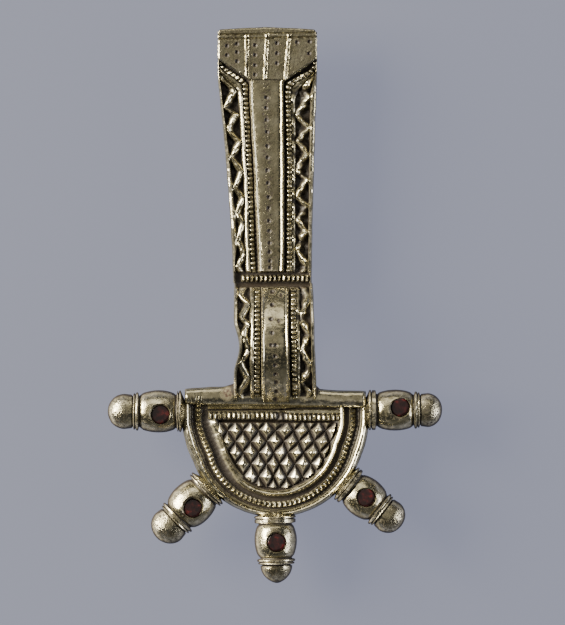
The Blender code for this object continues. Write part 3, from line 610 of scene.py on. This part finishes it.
def head_border():
    """The head's rounded rim, its beaded channel, and the slope down to the carved field."""
    profile = ((14.5, 0.3), (14.5, 1.0), (14.44, 1.35), (14.3, 1.7), (14.12, 1.98), (13.92, 2.18),
               (13.72, 2.26), (13.54, 2.2), (13.38, 2.0), (13.24, 1.74), (13.05, 1.6),
               (12.85, 1.64), (12.7, 1.5), (12.42, CHANNEL))
    inner = ((11.2, CHANNEL), (10.9, CHANNEL), (10.74, 1.52), (10.6, 1.72), (10.47, 1.96),
             (10.34, 2.12), (10.2, 2.17), (10.05, 2.1), (9.9, 1.9), (9.74, 1.64), (9.55, 1.4),
             (9.32, 1.22), (9.1, 1.14), (8.75, 1.1))
    ramp = ((8.75, 9.0, 9.2, 10.4, 10.8), (1.1, 1.3, 2.15, 1.5, CHANNEL))
    spots = (1, 0.9, 0.7, 0.45, 0.15, -0.15, -0.45, -0.7, -0.9, -1)
    beads = [(BEAD_LINE + 0.54 * spot, CHANNEL) for spot in spots]
    steps = 354
    outer_paths, bead_paths, inner_paths = [
        [(list(round_the_head(radius, steps)), radius, height) for radius, height in part]
        for part in (profile, beads, inner)]
    rings = []
    for i in range(steps + 1):
        edge_x, edge_y, along = outer_paths[0][0][i]
        lean = smooth((-edge_x - 5.0) / 5.0)
        toothed = TOOTHED_RIDGE * smooth((edge_x - 5.0) / 3.0)
        ring = [(edge_x, edge_y, BACK)]
        ring += [(*path[i][:2], BACK + height) for path, radius, height in outer_paths]
        for path, radius, height in bead_paths:
            x, y, along = path[i]
            across = (radius - BEAD_LINE) / 0.5
            lift = 0.72 * bead(across, along / BEAD_PITCH, 1.3)
            lift = max(lift, toothed * (1.0 - min(1.0, abs(across + 0.45) / 0.55) ** 2))
            ring.append((x, y, BACK + height + lift))
        for path, radius, height in inner_paths:
            x, y, along = path[i]
            slope = float(np.interp(radius, *ramp))
            corner = lean * smooth((y + 18.2) / 1.2)
            height = mixed(mixed(height, slope, lean), 1.35, corner)
            ring.append((x, y, BACK + height))
        ring.append((x, y, BACK))
        rings.append(ring)
    return lofted("head_border", rings)


def pyramid_field():
    """Chip-carved pyramids on a lozenge lattice, cut to the head's half-round field."""
    levels = (-16.2, -17.75, -19.4, -21.1, -22.8, -24.55, -26.55, -28.4)
    fine = 7
    half_width = 1.22
    columns = range(-8, 9)
    points = []
    index = {}
    faces = []

    def corner(u, v):
        key = (u, v)
        if key not in index:
            row = v / fine
            column = u / fine
            x = -1.25 + column * half_width
            y = float(np.interp(row, range(len(levels)), levels))
            slip = float(np.interp(-y, (17.0, 19.3, 22.8, 26.6), (1.1, 0.62, -0.4, -0.55)))
            x += slip * smooth((x + 1.0) / 2.6)
            x += 0.12 * lumps(x, y, 2.5, 3.0)
            y += 0.12 * lumps(x, y, 2.5, 7.0)
            down = abs(row - round(row))
            side = abs(column - round(column))
            peak = (round(row) + round(column)) % 2 == 0
            lift = 1.0 - down - side if peak else abs(down - side)
            height = FLOOR + 0.9 * min(0.93, lift) * (1.0 + 0.15 * lumps(x, y, 3.1, 5.0))
            index[key] = len(points)
            points.append((x * MM, y * MM, (BACK + height) * MM))
        return index[key]

    for v in range((len(levels) - 1) * fine):
        for u in range(columns[0] * fine, columns[-1] * fine):
            a, b = corner(u, v), corner(u + 1, v)
            c, d = corner(u + 1, v + 1), corner(u, v + 1)
            x = (points[a][0] + points[c][0]) / 2 / MM
            y = (points[a][1] + points[c][1]) / 2 / MM
            angle = math.atan2(y - HEAD_CENTRE, x) + 2 * math.pi
            if y > -18.2 or math.hypot(x, y - HEAD_CENTRE) > 9.25 + border_drift(angle):
                continue
            if (u // fine + v // fine) % 2:
                faces += [(a, b, c), (a, c, d)]
            else:
                faces += [(a, b, d), (b, c, d)]
    obj = new_mesh("pyramid_field", points, faces)
    bm = bmesh.new()
    bm.from_mesh(obj.data)
    loose = [vert for vert in bm.verts if not vert.link_faces]
    bmesh.ops.delete(bm, geom=loose, context="VERTS")
    back = (BACK + 3 * HAIR) * MM
    skirt = bmesh.ops.extrude_face_region(bm, geom=bm.faces[:])
    for item in skirt["geom"]:
        if isinstance(item, bmesh.types.BMVert):
            item.co.z = back
    bottom = [face for face in bm.faces if all(abs(v.co.z - back) < 1e-7 for v in face.verts)]
    bmesh.ops.dissolve_faces(bm, faces=bottom)
    bmesh.ops.recalc_face_normals(bm, faces=bm.faces)
    bm.to_mesh(obj.data)
    bm.free()
    return obj


# Knobs: heading in degrees from the head's centre, turn from there, girth, and the lengths of
# the collar, the bulb and the whole knob, in millimetres
KNOBS = {
    "left": (180.0, 0.0, 1.03, 0.9, 5.45, 11.45),
    "right": (0.0, 0.0, 1.0, 1.35, 5.45, 11.45),
    "lower_left": (224.4, 0.0, 1.08, 1.0, 5.15, 11.2),
    "lower_right": (319.3, 3.0, 1.0, 1.25, 4.85, 10.9),
    "bottom": (270.0, 1.5, 1.03, 1.35, 5.05, 10.5),
}
# Garnets: how far out along the knob, how far to the left of its heading, and how far the
# face lies under the bulb's top
GARNETS = {
    "left": (3.2, 0.45, 0.5),
    "right": (4.9, 0.45, 0.6),
    "lower_left": (3.85, 0.65, 0.7),
    "lower_right": (3.8, 0.15, 0.45),
    "bottom": (4.1, 0.15, 0.45),
}
KNOB_AXIS = 0.6
BULB_RADIUS = 3.2
SIDE_KNOB_SHIFT = {"left": 1.65, "right": 1.85}
GARNET_RADIUS = 1.42
SEAT_RADIUS = 1.5
SEAT_FLARE = 0.7


def knob_place(name):
    """Where a knob leaves the head, and its heading in radians."""
    heading, turn = KNOBS[name][:2]
    angle = math.radians(heading)
    x = HEAD_RADIUS * math.cos(angle)
    y = HEAD_CENTRE + HEAD_RADIUS * math.sin(angle) + SIDE_KNOB_SHIFT.get(name, 0.0)
    return x, y, angle + math.radians(turn)


def knob_profile(name):
    """(radius, reach) pairs from the root out to the tip, in millimetres."""
    girth, collar, bulb, length = KNOBS[name][2:]
    pairs = [(0.0, -0.75), (1.1, -0.7), (1.8, -0.45), (2.3, -0.2), (2.7, -0.03), (3.0, 0.06),
             (3.14, 0.17), (3.14, 0.3), (2.98, 0.4), (2.78, 0.44), (2.78, 0.5)]
    ring = collar - 0.25
    pairs += [(2.98, 0.53), (3.1, 0.59), (3.1, ring - 0.05), (2.98, ring + 0.02),
              (2.55, collar - 0.14)]
    for i in range(17):
        share = i / 16
        pairs.append((2.5 + 0.7 * math.sin(math.pi * share) ** 0.6, collar + bulb * share))
    end = collar + bulb
    pairs += [(2.36, end + 0.14), (2.4, end + 0.27), (2.72, end + 0.33), (2.87, end + 0.42),
              (2.88, end + 0.58), (2.8, end + 0.7), (2.58, end + 0.76), (2.56, end + 0.84),
              (2.72, end + 0.9), (2.76, end + 1.0), (2.66, end + 1.1), (2.3, end + 1.2)]
    start = end + 1.4
    if name == "bottom":
        dome_radius, shoulder, fullness = 2.4, 0.0, 1.25
    else:
        dome_radius, shoulder, fullness = 2.65, 0.3, 1.0
    pairs += [(dome_radius - 0.32, end + 1.28), (dome_radius - 0.12, end + 1.38)]
    for i in range(12):
        angle = math.pi / 2 * i / 11
        reach = (length - start) * mixed(shoulder, 1.0, math.sin(angle))
        pairs.append((dome_radius * math.cos(angle) ** fullness, start + reach))
    return [(radius * girth, reach) for radius, reach in pairs]


def apply(obj, change):
    """Fixes a modifier into the mesh."""
    bpy.context.view_layer.objects.active = obj
    bpy.ops.object.modifier_apply(modifier=change.name)


def drum(place, radius, depth, sides, lying=False):
    """A cylinder in metres, standing, or lying from side to side."""
    turn = (0, math.pi / 2 if lying else 0, 0)
    bpy.ops.mesh.primitive_cylinder_add(vertices=sides, radius=radius, depth=depth,
                                        location=place, rotation=turn)
    return bpy.context.object


def cut_away(obj, cutter):
    """Takes the cutter's shape out of a piece and removes the cutter."""
    cut = obj.modifiers.new("Cut", "BOOLEAN")
    cut.operation = "DIFFERENCE"
    cut.object = cutter
    apply(obj, cut)
    bpy.data.objects.remove(cutter)


def knob(name):
    """One knob turned about its own line, then pierced for its garnet."""
    x, y, angle = knob_place(name)
    points = [(reach * MM, radius * MM, 0.0) for radius, reach in knob_profile(name)]
    obj = new_mesh(f"knob_{name}", points, [], [(i, i + 1) for i in range(len(points) - 1)])
    pick(obj)
    edit()
    bpy.ops.mesh.spin(steps=48, angle=2 * math.pi, center=(0, 0, 0), axis=(1, 0, 0))
    bpy.ops.mesh.select_all(action="SELECT")
    weld(0.00001)
    edit_done()
    obj.rotation_euler.z = angle
    obj.location = (x * MM, y * MM, (BACK + KNOB_AXIS) * MM)
    settle()
    face = garnet_face(name)
    depth = 1.0 * MM
    cut_away(obj, drum(face, SEAT_RADIUS * MM, 2 * depth, 48))
    flare = face + Vector((0, 0, depth / 2))
    bpy.ops.mesh.primitive_cone_add(vertices=48, radius1=(SEAT_RADIUS + 0.03) * MM, depth=depth,
                                    radius2=(SEAT_RADIUS + SEAT_FLARE) * MM, location=flare)
    cut_away(obj, bpy.context.object)
    trim_back(obj)
    return obj


def trim_back(obj):
    """Cuts a knob level with the plates' back and closes it."""
    pick(obj)
    edit()
    bpy.ops.mesh.bisect(plane_co=(0, 0, (BACK + HAIR / 2) * MM), plane_no=(0, 0, 1),
                        use_fill=True, clear_inner=True)
    edit_done()


def garnet_face(name):
    """Middle of a garnet's face, in metres."""
    x, y, angle = knob_place(name)
    out, left, under = GARNETS[name]
    x += out * math.cos(angle) - left * math.sin(angle)
    y += out * math.sin(angle) + left * math.cos(angle)
    top = BACK - 0.02 + KNOB_AXIS + BULB_RADIUS * KNOBS[name][2] - under
    return Vector((x, y, top)) * MM


def join(name, parts):
    """Makes several shells one piece."""
    deselect()
    for part in parts:
        part.select_set(True)
    bpy.context.view_layer.objects.active = parts[0]
    bpy.ops.object.join()
    piece = bpy.context.object
    piece.name = name
    piece.data.name = name
    return piece


def apply_bevel(obj, width, segments=2):
    bevel = obj.modifiers.new("Softened edges", "BEVEL")
    bevel.width = width * MM
    bevel.segments = segments
    bevel.limit_method = "ANGLE"
    apply(obj, bevel)


# Spring lugs, axle, pin and catch behind the plates, in millimetres
AXLE_PLACE = (-19.675, 2.6)
LUG_SPACING = 10.4
LUG_SIZE = (1.5, 5.2, 5.9)
LUG_FOOT = 3.0
PIN_ACROSS = 3.0
COIL_RADIUS = 1.5
COIL_TURNS = 3
COIL_PITCH = 1.4
PIN_REACH = 36.65


def lug(side):
    """A pierced lug, narrowing to the flat end that the brooch lies on."""
    x = side * LUG_SPACING / 2
    y, z = AXLE_PLACE
    width, depth, height = LUG_SIZE
    bpy.ops.mesh.primitive_cube_add(size=1.0, location=(x * MM, y * MM, height / 2 * MM))
    obj = bpy.context.object
    obj.scale = (width * MM, depth * MM, height * MM)
    settle()
    edit()
    bpy.ops.mesh.bisect(plane_co=(0, 0, z * MM), plane_no=(0, 0, 1))
    edit_done()
    for vert in obj.data.vertices:
        if vert.co.z < 0.5 * MM:
            vert.co.y = y * MM + (vert.co.y - y * MM) * LUG_FOOT / depth
    apply_bevel(obj, 0.22, 3)
    cut_away(obj, drum((x * MM, y * MM, z * MM), 0.95 * MM, 4 * MM, 32, lying=True))
    return obj


def catch():
    """The wall behind the foot whose free edge is bent up into a gutter for the pin."""
    outline = ((-1.9, 0.0), (2.0, 0.0), (2.0, 2.3), (1.0, 2.3), (1.0, 1.0), (-0.9, 1.0),
               (-0.9, 5.9), (-1.9, 5.9))
    rings = []
    for y in np.linspace(6.475, 15.475, 10):
        rings.append([(x, float(y), z) for x, z in outline])
    obj = lofted("catch", rings)
    apply_bevel(obj, 0.2, 3)
    return obj


def handwork(x, y):
    """Unevenness of hand-cut and long-worn metal, as three small shifts in millimetres."""
    shift_x = 0.07 * lumps(x, y, 2.6, 11.0) + 0.02 * lumps(x, y, 0.5, 17.0)
    shift_y = 0.07 * lumps(x, y, 2.9, 23.0) + 0.02 * lumps(x, y, 0.5, 29.0)
    shift_z = 0.05 * lumps(x, y, 1.7, 31.0) + 0.03 * lumps(x, y, 0.42, 37.0)
    return shift_x, shift_y, shift_z


def make_uneven(obj):
    """Shifts the points over the back a little, and roughens the knobs more."""
    points = numbers(obj)
    for i in range(len(points)):
        x, y, z = points[i] / MM
        if z < 4.9:
            continue
        dx, dy, dz = handwork(x, y)
        if y < BOW_HEAD + 2.0 and math.hypot(x, y - HEAD_CENTRE) > HEAD_RADIUS + 0.5:
            dz += 0.08 * lumps(x, y, 0.9, 43.0)
        depth = min(1.0, max(0.0, (z - 5.6) / 0.8))
        points[i] += (dx * depth * MM, dy * depth * MM, dz * depth * MM)
    obj.data.vertices.foreach_set("co", points.ravel())
    obj.data.update()


def blurred(heights, weights, radius):
    """Average height round each cell, over a square-ish window of this radius in cells."""
    steps = np.arange(-3 * radius, 3 * radius + 1)
    kernel = np.exp(-0.5 * (steps / radius) ** 2)
    for axis in (0, 1):
        heights = np.apply_along_axis(lambda line: np.convolve(line, kernel, "same"), axis, heights)
        weights = np.apply_along_axis(lambda line: np.convolve(line, kernel, "same"), axis, weights)
    return heights / np.maximum(weights, 1e-6)


def held(values):
    """Values held between 0 and 1."""
    return np.clip(values, 0.0, 1.0)


def sunk_in_carving(across, along, up, reach):
    """1 at the bottom of the carved fields and channels, 0 on their raised parts and rims."""
    places = np.linspace(BOW_HEAD, 38.6, 80)
    left = np.interp(along, places, [edges(y)[0] + worn_edge(y) for y in places]) + 0.45
    right = np.interp(along, places, [edges(y)[1] for y in places]) - 0.45
    shaft = (along > BOW_HEAD) & (across > left) & (across < right)
    head = (along <= BOW_HEAD) & (reach < 13.5)
    rise = BOW_RISE * np.maximum(0.0, 1.0 - ((along - CROWN) / BOW_HALF) ** 2)
    return held((1.95 - (up - BACK - rise)) / 0.4) * (shaft | head)


def mark_wear_and_shade(obj):
    """Stores on each point its grime with painted shade, how exposed it lies, how stained and
    how pitted.
    """
    points = numbers(obj) / MM
    across, along, up = points.T
    # Heights on a net of small cells, then each point against the average round it
    cells = tuple(((points[:, :2] - points.min(axis=0)[:2]) / WEAR_CELL).astype(int).T)
    heights = np.full((cells[0].max() + 1, cells[1].max() + 1), -1.0)
    np.maximum.at(heights, cells, up)
    known = (heights > BACK + 0.5).astype(float)
    fine = blurred(heights * known, known, 2)[cells] - up
    near = blurred(heights * known, known, 5)[cells] - up
    front = up > BACK + 0.5
    reach = np.hypot(across, along - HEAD_CENTRE)
    on_knob = (reach > HEAD_RADIUS + 0.3) & (along < BOW_HEAD + 2.0)
    # Grime: darker the lower a point lies than the heights round it, and in and round the punched
    # dots
    hollow = held((near - 0.2) / 0.75) + 0.8 * held((fine - 0.04) / 0.18)
    for x, y in STRIP_DOTS + PANEL_DOTS:
        hollow += held(4.0 * (1.45 - np.hypot(across - x, along - y) / PUNCH_RADIUS))
    # Painted shade: darker under a higher part of the casting, and on the steep sides of the knobs
    overhang_shade = held((heights[cells] - up - 0.2) / 0.8)
    knob_side_shade = held((0.75 - numbers(obj, "normal")[:, 2]) / 0.4)
    hollow += 0.25 * overhang_shade + 0.75 * knob_side_shade * on_knob
    sunk = 0.85 * sunk_in_carving(across, along, up, reach)
    hollow = held(np.maximum(hollow, sunk)) * front
    crest = held((-fine - 0.02) / 0.2) * 0.6 + held(-near / 0.6) * 0.4
    crest = held(0.85 * crest) * front
    # Most pitted by the line of dots, on the end panel and at the knobs' tips
    by_dots = held(1.4 - np.abs(across - dot_line(along)) / 0.9)
    pitted = np.where(along > 4.2, 0.45 + 0.55 * by_dots, 0.1 + 0.4 * by_dots)
    pitted = np.where(along > 34.6, 0.8, pitted)
    pitted = np.where(on_knob, 0.4 + 0.6 * held((reach - 21.5) / 2.0), pitted)
    pitted = np.where(front, pitted, 0.25)
    stain = np.zeros(len(points))
    for x, y, size, strength in STAINS:
        away = np.hypot(across - x, along - y) / size
        stain = np.maximum(stain, strength * held(1.3 - away))
    marks = {"hollow": hollow, "crest": crest, "stain": stain, "pitted": pitted}
    for name, values in marks.items():
        layer = obj.data.attributes.new(name, "FLOAT", "POINT")
        layer.data.foreach_set("value", values.astype(np.float32))


def linear(value):
    return value / 12.92 if value <= 0.04045 else ((value + 0.055) / 1.055) ** 2.4


def colour(code):
    """An sRGB hex colour as the linear values that a shader takes."""
    parts = [int(code[i:i + 2], 16) / 255 for i in (0, 2, 4)]
    return (*(linear(part) for part in parts), 1.0)


def add(tree, kind, settings=None, **sockets):
    """A shader node with its settings, and values or links for its inputs. An input is named,
    or is i and its number where several have one name."""
    made = tree.nodes.new(kind)
    for name, value in (settings or {}).items():
        if name == "stops":
            ramp = made.color_ramp
            while len(ramp.elements) < len(value):
                ramp.elements.new(0.5)
            for element, (place, shade) in zip(ramp.elements, value):
                element.position = place
                element.color = shade
        else:
            setattr(made, name, value)
    for name, value in sockets.items():
        socket = made.inputs[int(name[1:]) if name[1:].isdigit() else name.replace("_", " ")]
        if isinstance(value, bpy.types.NodeSocket):
            tree.links.new(value, socket)
        else:
            socket.default_value = value
    return made


def new_material(name):
    """A material, its empty node tree, and the place on the object in metres."""
    material = bpy.data.materials.new(name)
    material.use_nodes = True
    tree = material.node_tree
    tree.nodes.clear()
    return material, tree, add(tree, "ShaderNodeTexCoord").outputs["Object"]


def surface(tree, **sockets):
    """The finished surface, with these values or links on its shader."""
    shader = add(tree, "ShaderNodeBsdfPrincipled", **sockets)
    output = tree.nodes.new("ShaderNodeOutputMaterial")
    tree.links.new(shader.outputs["BSDF"], output.inputs["Surface"])


def cloudy(tree, place, size, detail=3.0, roughness=0.5):
    """An uneven pattern with lumps of this size in millimetres."""
    noises = add(tree, "ShaderNodeTexNoise", Vector=place, Scale=1.0 / (size * MM), Detail=detail,
                 Roughness=roughness)
    return noises.outputs["Fac"]


def spread(tree, value, start, end, low=0.0, high=1.0):
    """A value taken from the span between start and end to the span between low and high."""
    return add(tree, "ShaderNodeMapRange", Value=value, From_Min=start, From_Max=end, To_Min=low,
               To_Max=high).outputs["Result"]


def reckon(tree, operation, *values):
    inputs = {f"i{i}": value for i, value in enumerate(values)}
    return add(tree, "ShaderNodeMath", {"operation": operation}, **inputs).outputs["Value"]


def overlaid(tree, share, under, code):
    """A colour with another one, given as hex, laid over it by a share."""
    return add(tree, "ShaderNodeMix", {"data_type": "RGBA"}, i0=share, i6=under,
               i7=colour(code)).outputs[2]


def toned(tree, value, *stops):
    """A value turned into colour, by places and hex colours."""
    shades = [(place, colour(code)) for place, code in stops]
    return add(tree, "ShaderNodeValToRGB", {"stops": shades}, Fac=value).outputs["Color"]


def bumped(tree, height, strength, depth):
    """Fine unevenness of this depth in millimetres, without moving the mesh."""
    return add(tree, "ShaderNodeBump", Height=height, Strength=strength,
               Distance=depth * MM).outputs["Normal"]


def worn_silver_gilt():
    """Cast silver, fire-gilded and long worn: pale on the rubbed crests, dull olive grey and
    pitted on the flats, brown grime in the carving, painted shade under overhangs and on the
    knobs' steep sides, and a few corrosion stains."""
    material, tree, place = new_material("worn_silver_gilt")
    hollow, crest, stain, pitted = [
        add(tree, "ShaderNodeAttribute", {"attribute_name": name}).outputs["Fac"]
        for name in ("hollow", "crest", "stain", "pitted")]
    cloud = cloudy(tree, place, 2.2, 4.0)
    scuffs = cloudy(tree, place, 0.9)
    speck = cloudy(tree, place, 0.32)
    grain = cloudy(tree, place, 0.34, 4.0, 0.6)
    # Olive grey tarnish, with dark soft spots where it is pitted
    tarnish = toned(tree, cloud, (0.3, "827c62"), (0.5, "9a9478"), (0.7, "b5af93"))
    spots = reckon(tree, "MULTIPLY", spread(tree, grain, 0.51, 0.39, 0.1, 0.95), pitted)
    spotted = overlaid(tree, spots, tarnish, "332d1f")
    # Pale metal where crests are rubbed, patch by patch
    rubbing = reckon(tree, "MULTIPLY", crest, spread(tree, scuffs, 0.42, 0.58, 0.15, 1.0))
    rubbed = overlaid(tree, rubbing, spotted, "f1e8cb")
    browned = spread(tree, reckon(tree, "MULTIPLY", stain, speck), 0.2, 0.55)
    stained = overlaid(tree, browned, rubbed, "35231a")
    # Dark matt grime in the recesses and in the sharp small pits; the same dark colour is painted
    # shade under overhangs and on the steep sides of the knobs
    packed_grime_and_shade = spread(tree, reckon(tree, "MULTIPLY_ADD", speck, 0.6, hollow), 0.5, 1.05)
    pitting = reckon(tree, "MULTIPLY", spread(tree, grain, 0.45, 0.4), pitted)
    dark_fill_and_shade = reckon(tree, "MAXIMUM", packed_grime_and_shade, pitting)
    soiled_and_shaded = overlaid(tree, dark_fill_and_shade, stained, "221b12")
    matt = reckon(tree, "MAXIMUM", dark_fill_and_shade, browned)
    polish = spread(tree, cloud, 0.3, 0.7, 0.26, 0.15)
    surface(tree, Base_Color=soiled_and_shaded, Metallic=spread(tree, matt, 0.0, 1.0, 1.0, 0.08),
            Roughness=reckon(tree, "MULTIPLY_ADD", matt, 0.35, polish),
            Normal=bumped(tree, reckon(tree, "MULTIPLY", grain, pitted), 1.0, 0.1))
    return material


def dull_bronze():
    """Drawn bronze wire gone brown, with a little green and wear where it rubs."""
    material, tree, place = new_material("dull_bronze")
    cloud = cloudy(tree, place, 1.5, 4.0)
    tone = toned(tree, cloud, (0.3, "4a3c28"), (0.52, "7d6540"), (0.7, "56604a"))
    surface(tree, Base_Color=tone, Metallic=0.9,
            Roughness=spread(tree, cloud, 0.3, 0.7, 0.35, 0.6),
            Normal=bumped(tree, cloudy(tree, place, 0.25), 0.3, 0.08))
    return material


def dark_garnet():
    """Flat-cut garnet, polished and nearly black over the dark seat, with wine-red depths."""
    material, tree, place = new_material("dark_garnet")
    flaws = cloudy(tree, place, 0.9, 4.0)
    tone = toned(tree, flaws, (0.4, "0d0506"), (0.58, "200a0b"), (0.75, "4a1513"))
    wear = cloudy(tree, place, 0.35, 4.0)
    surface(tree, Base_Color=tone, Roughness=0.15, IOR=1.76, Specular_IOR_Level=0.25,
            Normal=bumped(tree, wear, 0.15, 0.05))
    return material


def pale_table():
    """Matt grey-lavender paper under the brooch."""
    material, tree, place = new_material("pale_table")
    tone = toned(tree, cloudy(tree, place, 125.0, 2.0), (0.3, "1c1d20"), (0.7, "1e1f22"))
    surface(tree, Base_Color=tone, Roughness=0.9, Emission_Color=colour("9b9fb6"),
            Emission_Strength=0.8)
    return material


def paint(obj, material, angle):
    """Gives a piece its material, and smooths its faces where they meet at less than the angle."""
    obj.data.materials.clear()
    obj.data.materials.append(material)
    pick(obj)
    bpy.ops.object.shade_smooth_by_angle(angle=math.radians(angle))


def casting(material):
    shells = [foot_and_bow(), junction_band(), end_panel(), crossbar(), head_top(), head_border(),
              pyramid_field()]
    shells += [knob(name) for name in KNOBS]
    shells += [lug(-1), lug(1), catch()]
    piece = join("brooch_casting", shells)
    make_uneven(piece)
    mark_wear_and_shade(piece)
    paint(piece, material, 40)
    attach(piece, "brooch")
    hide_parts("brooch_body")
    return piece


def garnet(name, material):
    """A round flat-cut stone with a softened rim and a faintly domed face."""
    face = garnet_face(name) - Vector((0, 0, 0.045 * MM))
    thick = 0.8 * MM
    piece = drum((face.x, face.y, face.z - thick / 2), GARNET_RADIUS * MM, thick, 40)
    piece.name = f"set_garnet_{name}"
    settle()
    apply_bevel(piece, 0.16, 3)
    edit("DESELECT")
    edit_done()
    for poly in piece.data.polygons:
        poly.select = poly.normal.z > 0.999
    bpy.ops.object.mode_set(mode="EDIT")
    for width, lift in ((0.35, 0.02), (0.35, 0.015), (0.3, 0.01)):
        bpy.ops.mesh.inset(thickness=width * MM, depth=lift * MM)
    edit_done()
    paint(piece, material, 50)
    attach(piece, "brooch")
    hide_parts(f"garnet_{name}")
    return piece


def axle(material):
    """The rod through the lugs, its ends rounded over."""
    y, z = AXLE_PLACE
    piece = drum((0, y * MM, z * MM), 0.7 * MM, 13.7 * MM, 32, lying=True)
    piece.name = "spring_axle"
    settle()
    apply_bevel(piece, 0.25, 4)
    paint(piece, material, 50)
    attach(piece, "brooch")
    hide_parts("pin_axle")
    return piece


def wound_pin(material):
    """One wire: three turns round the axle, then the straight pin tapering to its point."""
    y, z = AXLE_PLACE
    turn_points = 40
    count = COIL_TURNS * turn_points
    points = []
    for i in range(count + 1):
        angle = 2 * math.pi * (i - count) / turn_points - math.pi / 2
        shift = COIL_PITCH * (i - count) / turn_points
        points.append((shift, COIL_RADIUS * math.cos(angle), COIL_RADIUS * math.sin(angle), 1.0))
    for share in np.linspace(0.04, 1.0, 40):
        along = PIN_REACH * float(share)
        thickness = min(1.0, 0.28 + 0.72 * (PIN_REACH - along) / 7.0)
        points.append((0.0, along, 1.3 * float(share) - COIL_RADIUS, thickness))
    curve = bpy.data.curves.new("wound_pin", "CURVE")
    curve.dimensions = "3D"
    curve.bevel_depth = 0.55 * MM
    curve.bevel_resolution = 5
    curve.use_fill_caps = True
    spline = curve.splines.new("POLY")
    spline.points.add(len(points) - 1)
    for spot, (px, py, pz, thickness) in zip(spline.points, points):
        spot.co = ((PIN_ACROSS + px) * MM, (y + py) * MM, (z + pz) * MM, 1.0)
        spot.radius = thickness
    pick(placed("wound_pin", curve))
    bpy.ops.object.convert(target="MESH")
    edit()
    weld(0.000002)
    edit_done()
    piece = bpy.context.object
    paint(piece, material, 50)
    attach(piece, "pin")
    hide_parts("spring_pin")
    return piece


def table_top():
    bpy.ops.mesh.primitive_plane_add(size=3.0, location=(0, 0, 0))
    floor = bpy.context.object
    floor.name = "table_top"
    floor.data.materials.append(pale_table())


def soft_box(name, place, size, power, tint):
    """A large studio lamp aimed at the brooch, in metres and watts."""
    lamp = bpy.data.lights.new(name, "AREA")
    lamp.shape = "RECTANGLE"
    lamp.size, lamp.size_y = size
    lamp.energy = power
    lamp.color = colour(tint)[:3]
    obj = placed(name, lamp)
    obj.location = place
    obj.rotation_euler = (-Vector(place)).to_track_quat("-Z", "Y").to_euler()


def studio():
    world = bpy.data.worlds.new("studio")
    world.use_nodes = True
    shade = world.node_tree.nodes["Background"]
    shade.inputs["Color"].default_value = colour("b9bcc6")
    shade.inputs["Strength"].default_value = 0.13
    bpy.context.scene.world = world
    soft_box("key_light", (-0.69, 0.21, 0.34), (0.6, 0.4), 42.0, "fff6e2")
    soft_box("edge_light", (0.62, -0.05, 0.2), (0.5, 0.22), 4.0, "fbfaff")
    soft_box("top_light", (-0.1, 0.75, 0.5), (0.9, 0.5), 3.4, "fff8ea")
    soft_box("front_light", (0.1, -0.75, 0.3), (0.9, 0.4), 0.17, "fffaf0")
    soft_box("overhead_light", (-0.1, 0.12, 1.0), (0.8, 0.8), 1.05, "fff8ea")


def camera():
    """Straight down on the lying brooch through a long lens, in the photograph's frame."""
    lens = bpy.data.cameras.new("camera")
    lens.sensor_fit = "AUTO"
    lens.sensor_width = 36.0
    distance = 0.8
    field_height = 96.875 * MM
    lens.lens = 36.0 * (distance - 7 * MM) / field_height
    lens.clip_start = 0.01
    lens.clip_end = 10.0
    obj = placed("camera", lens)
    obj.location = (1.1625 * MM, -1.085 * MM, distance)
    bpy.context.scene.camera = obj


def main():
    camera()
    silver = worn_silver_gilt()
    bronze = dull_bronze()
    stone = dark_garnet()
    casting(silver)
    for name in KNOBS:
        garnet(name, stone)
    axle(bronze)
    wound_pin(bronze)
    table_top()
    studio()


main()
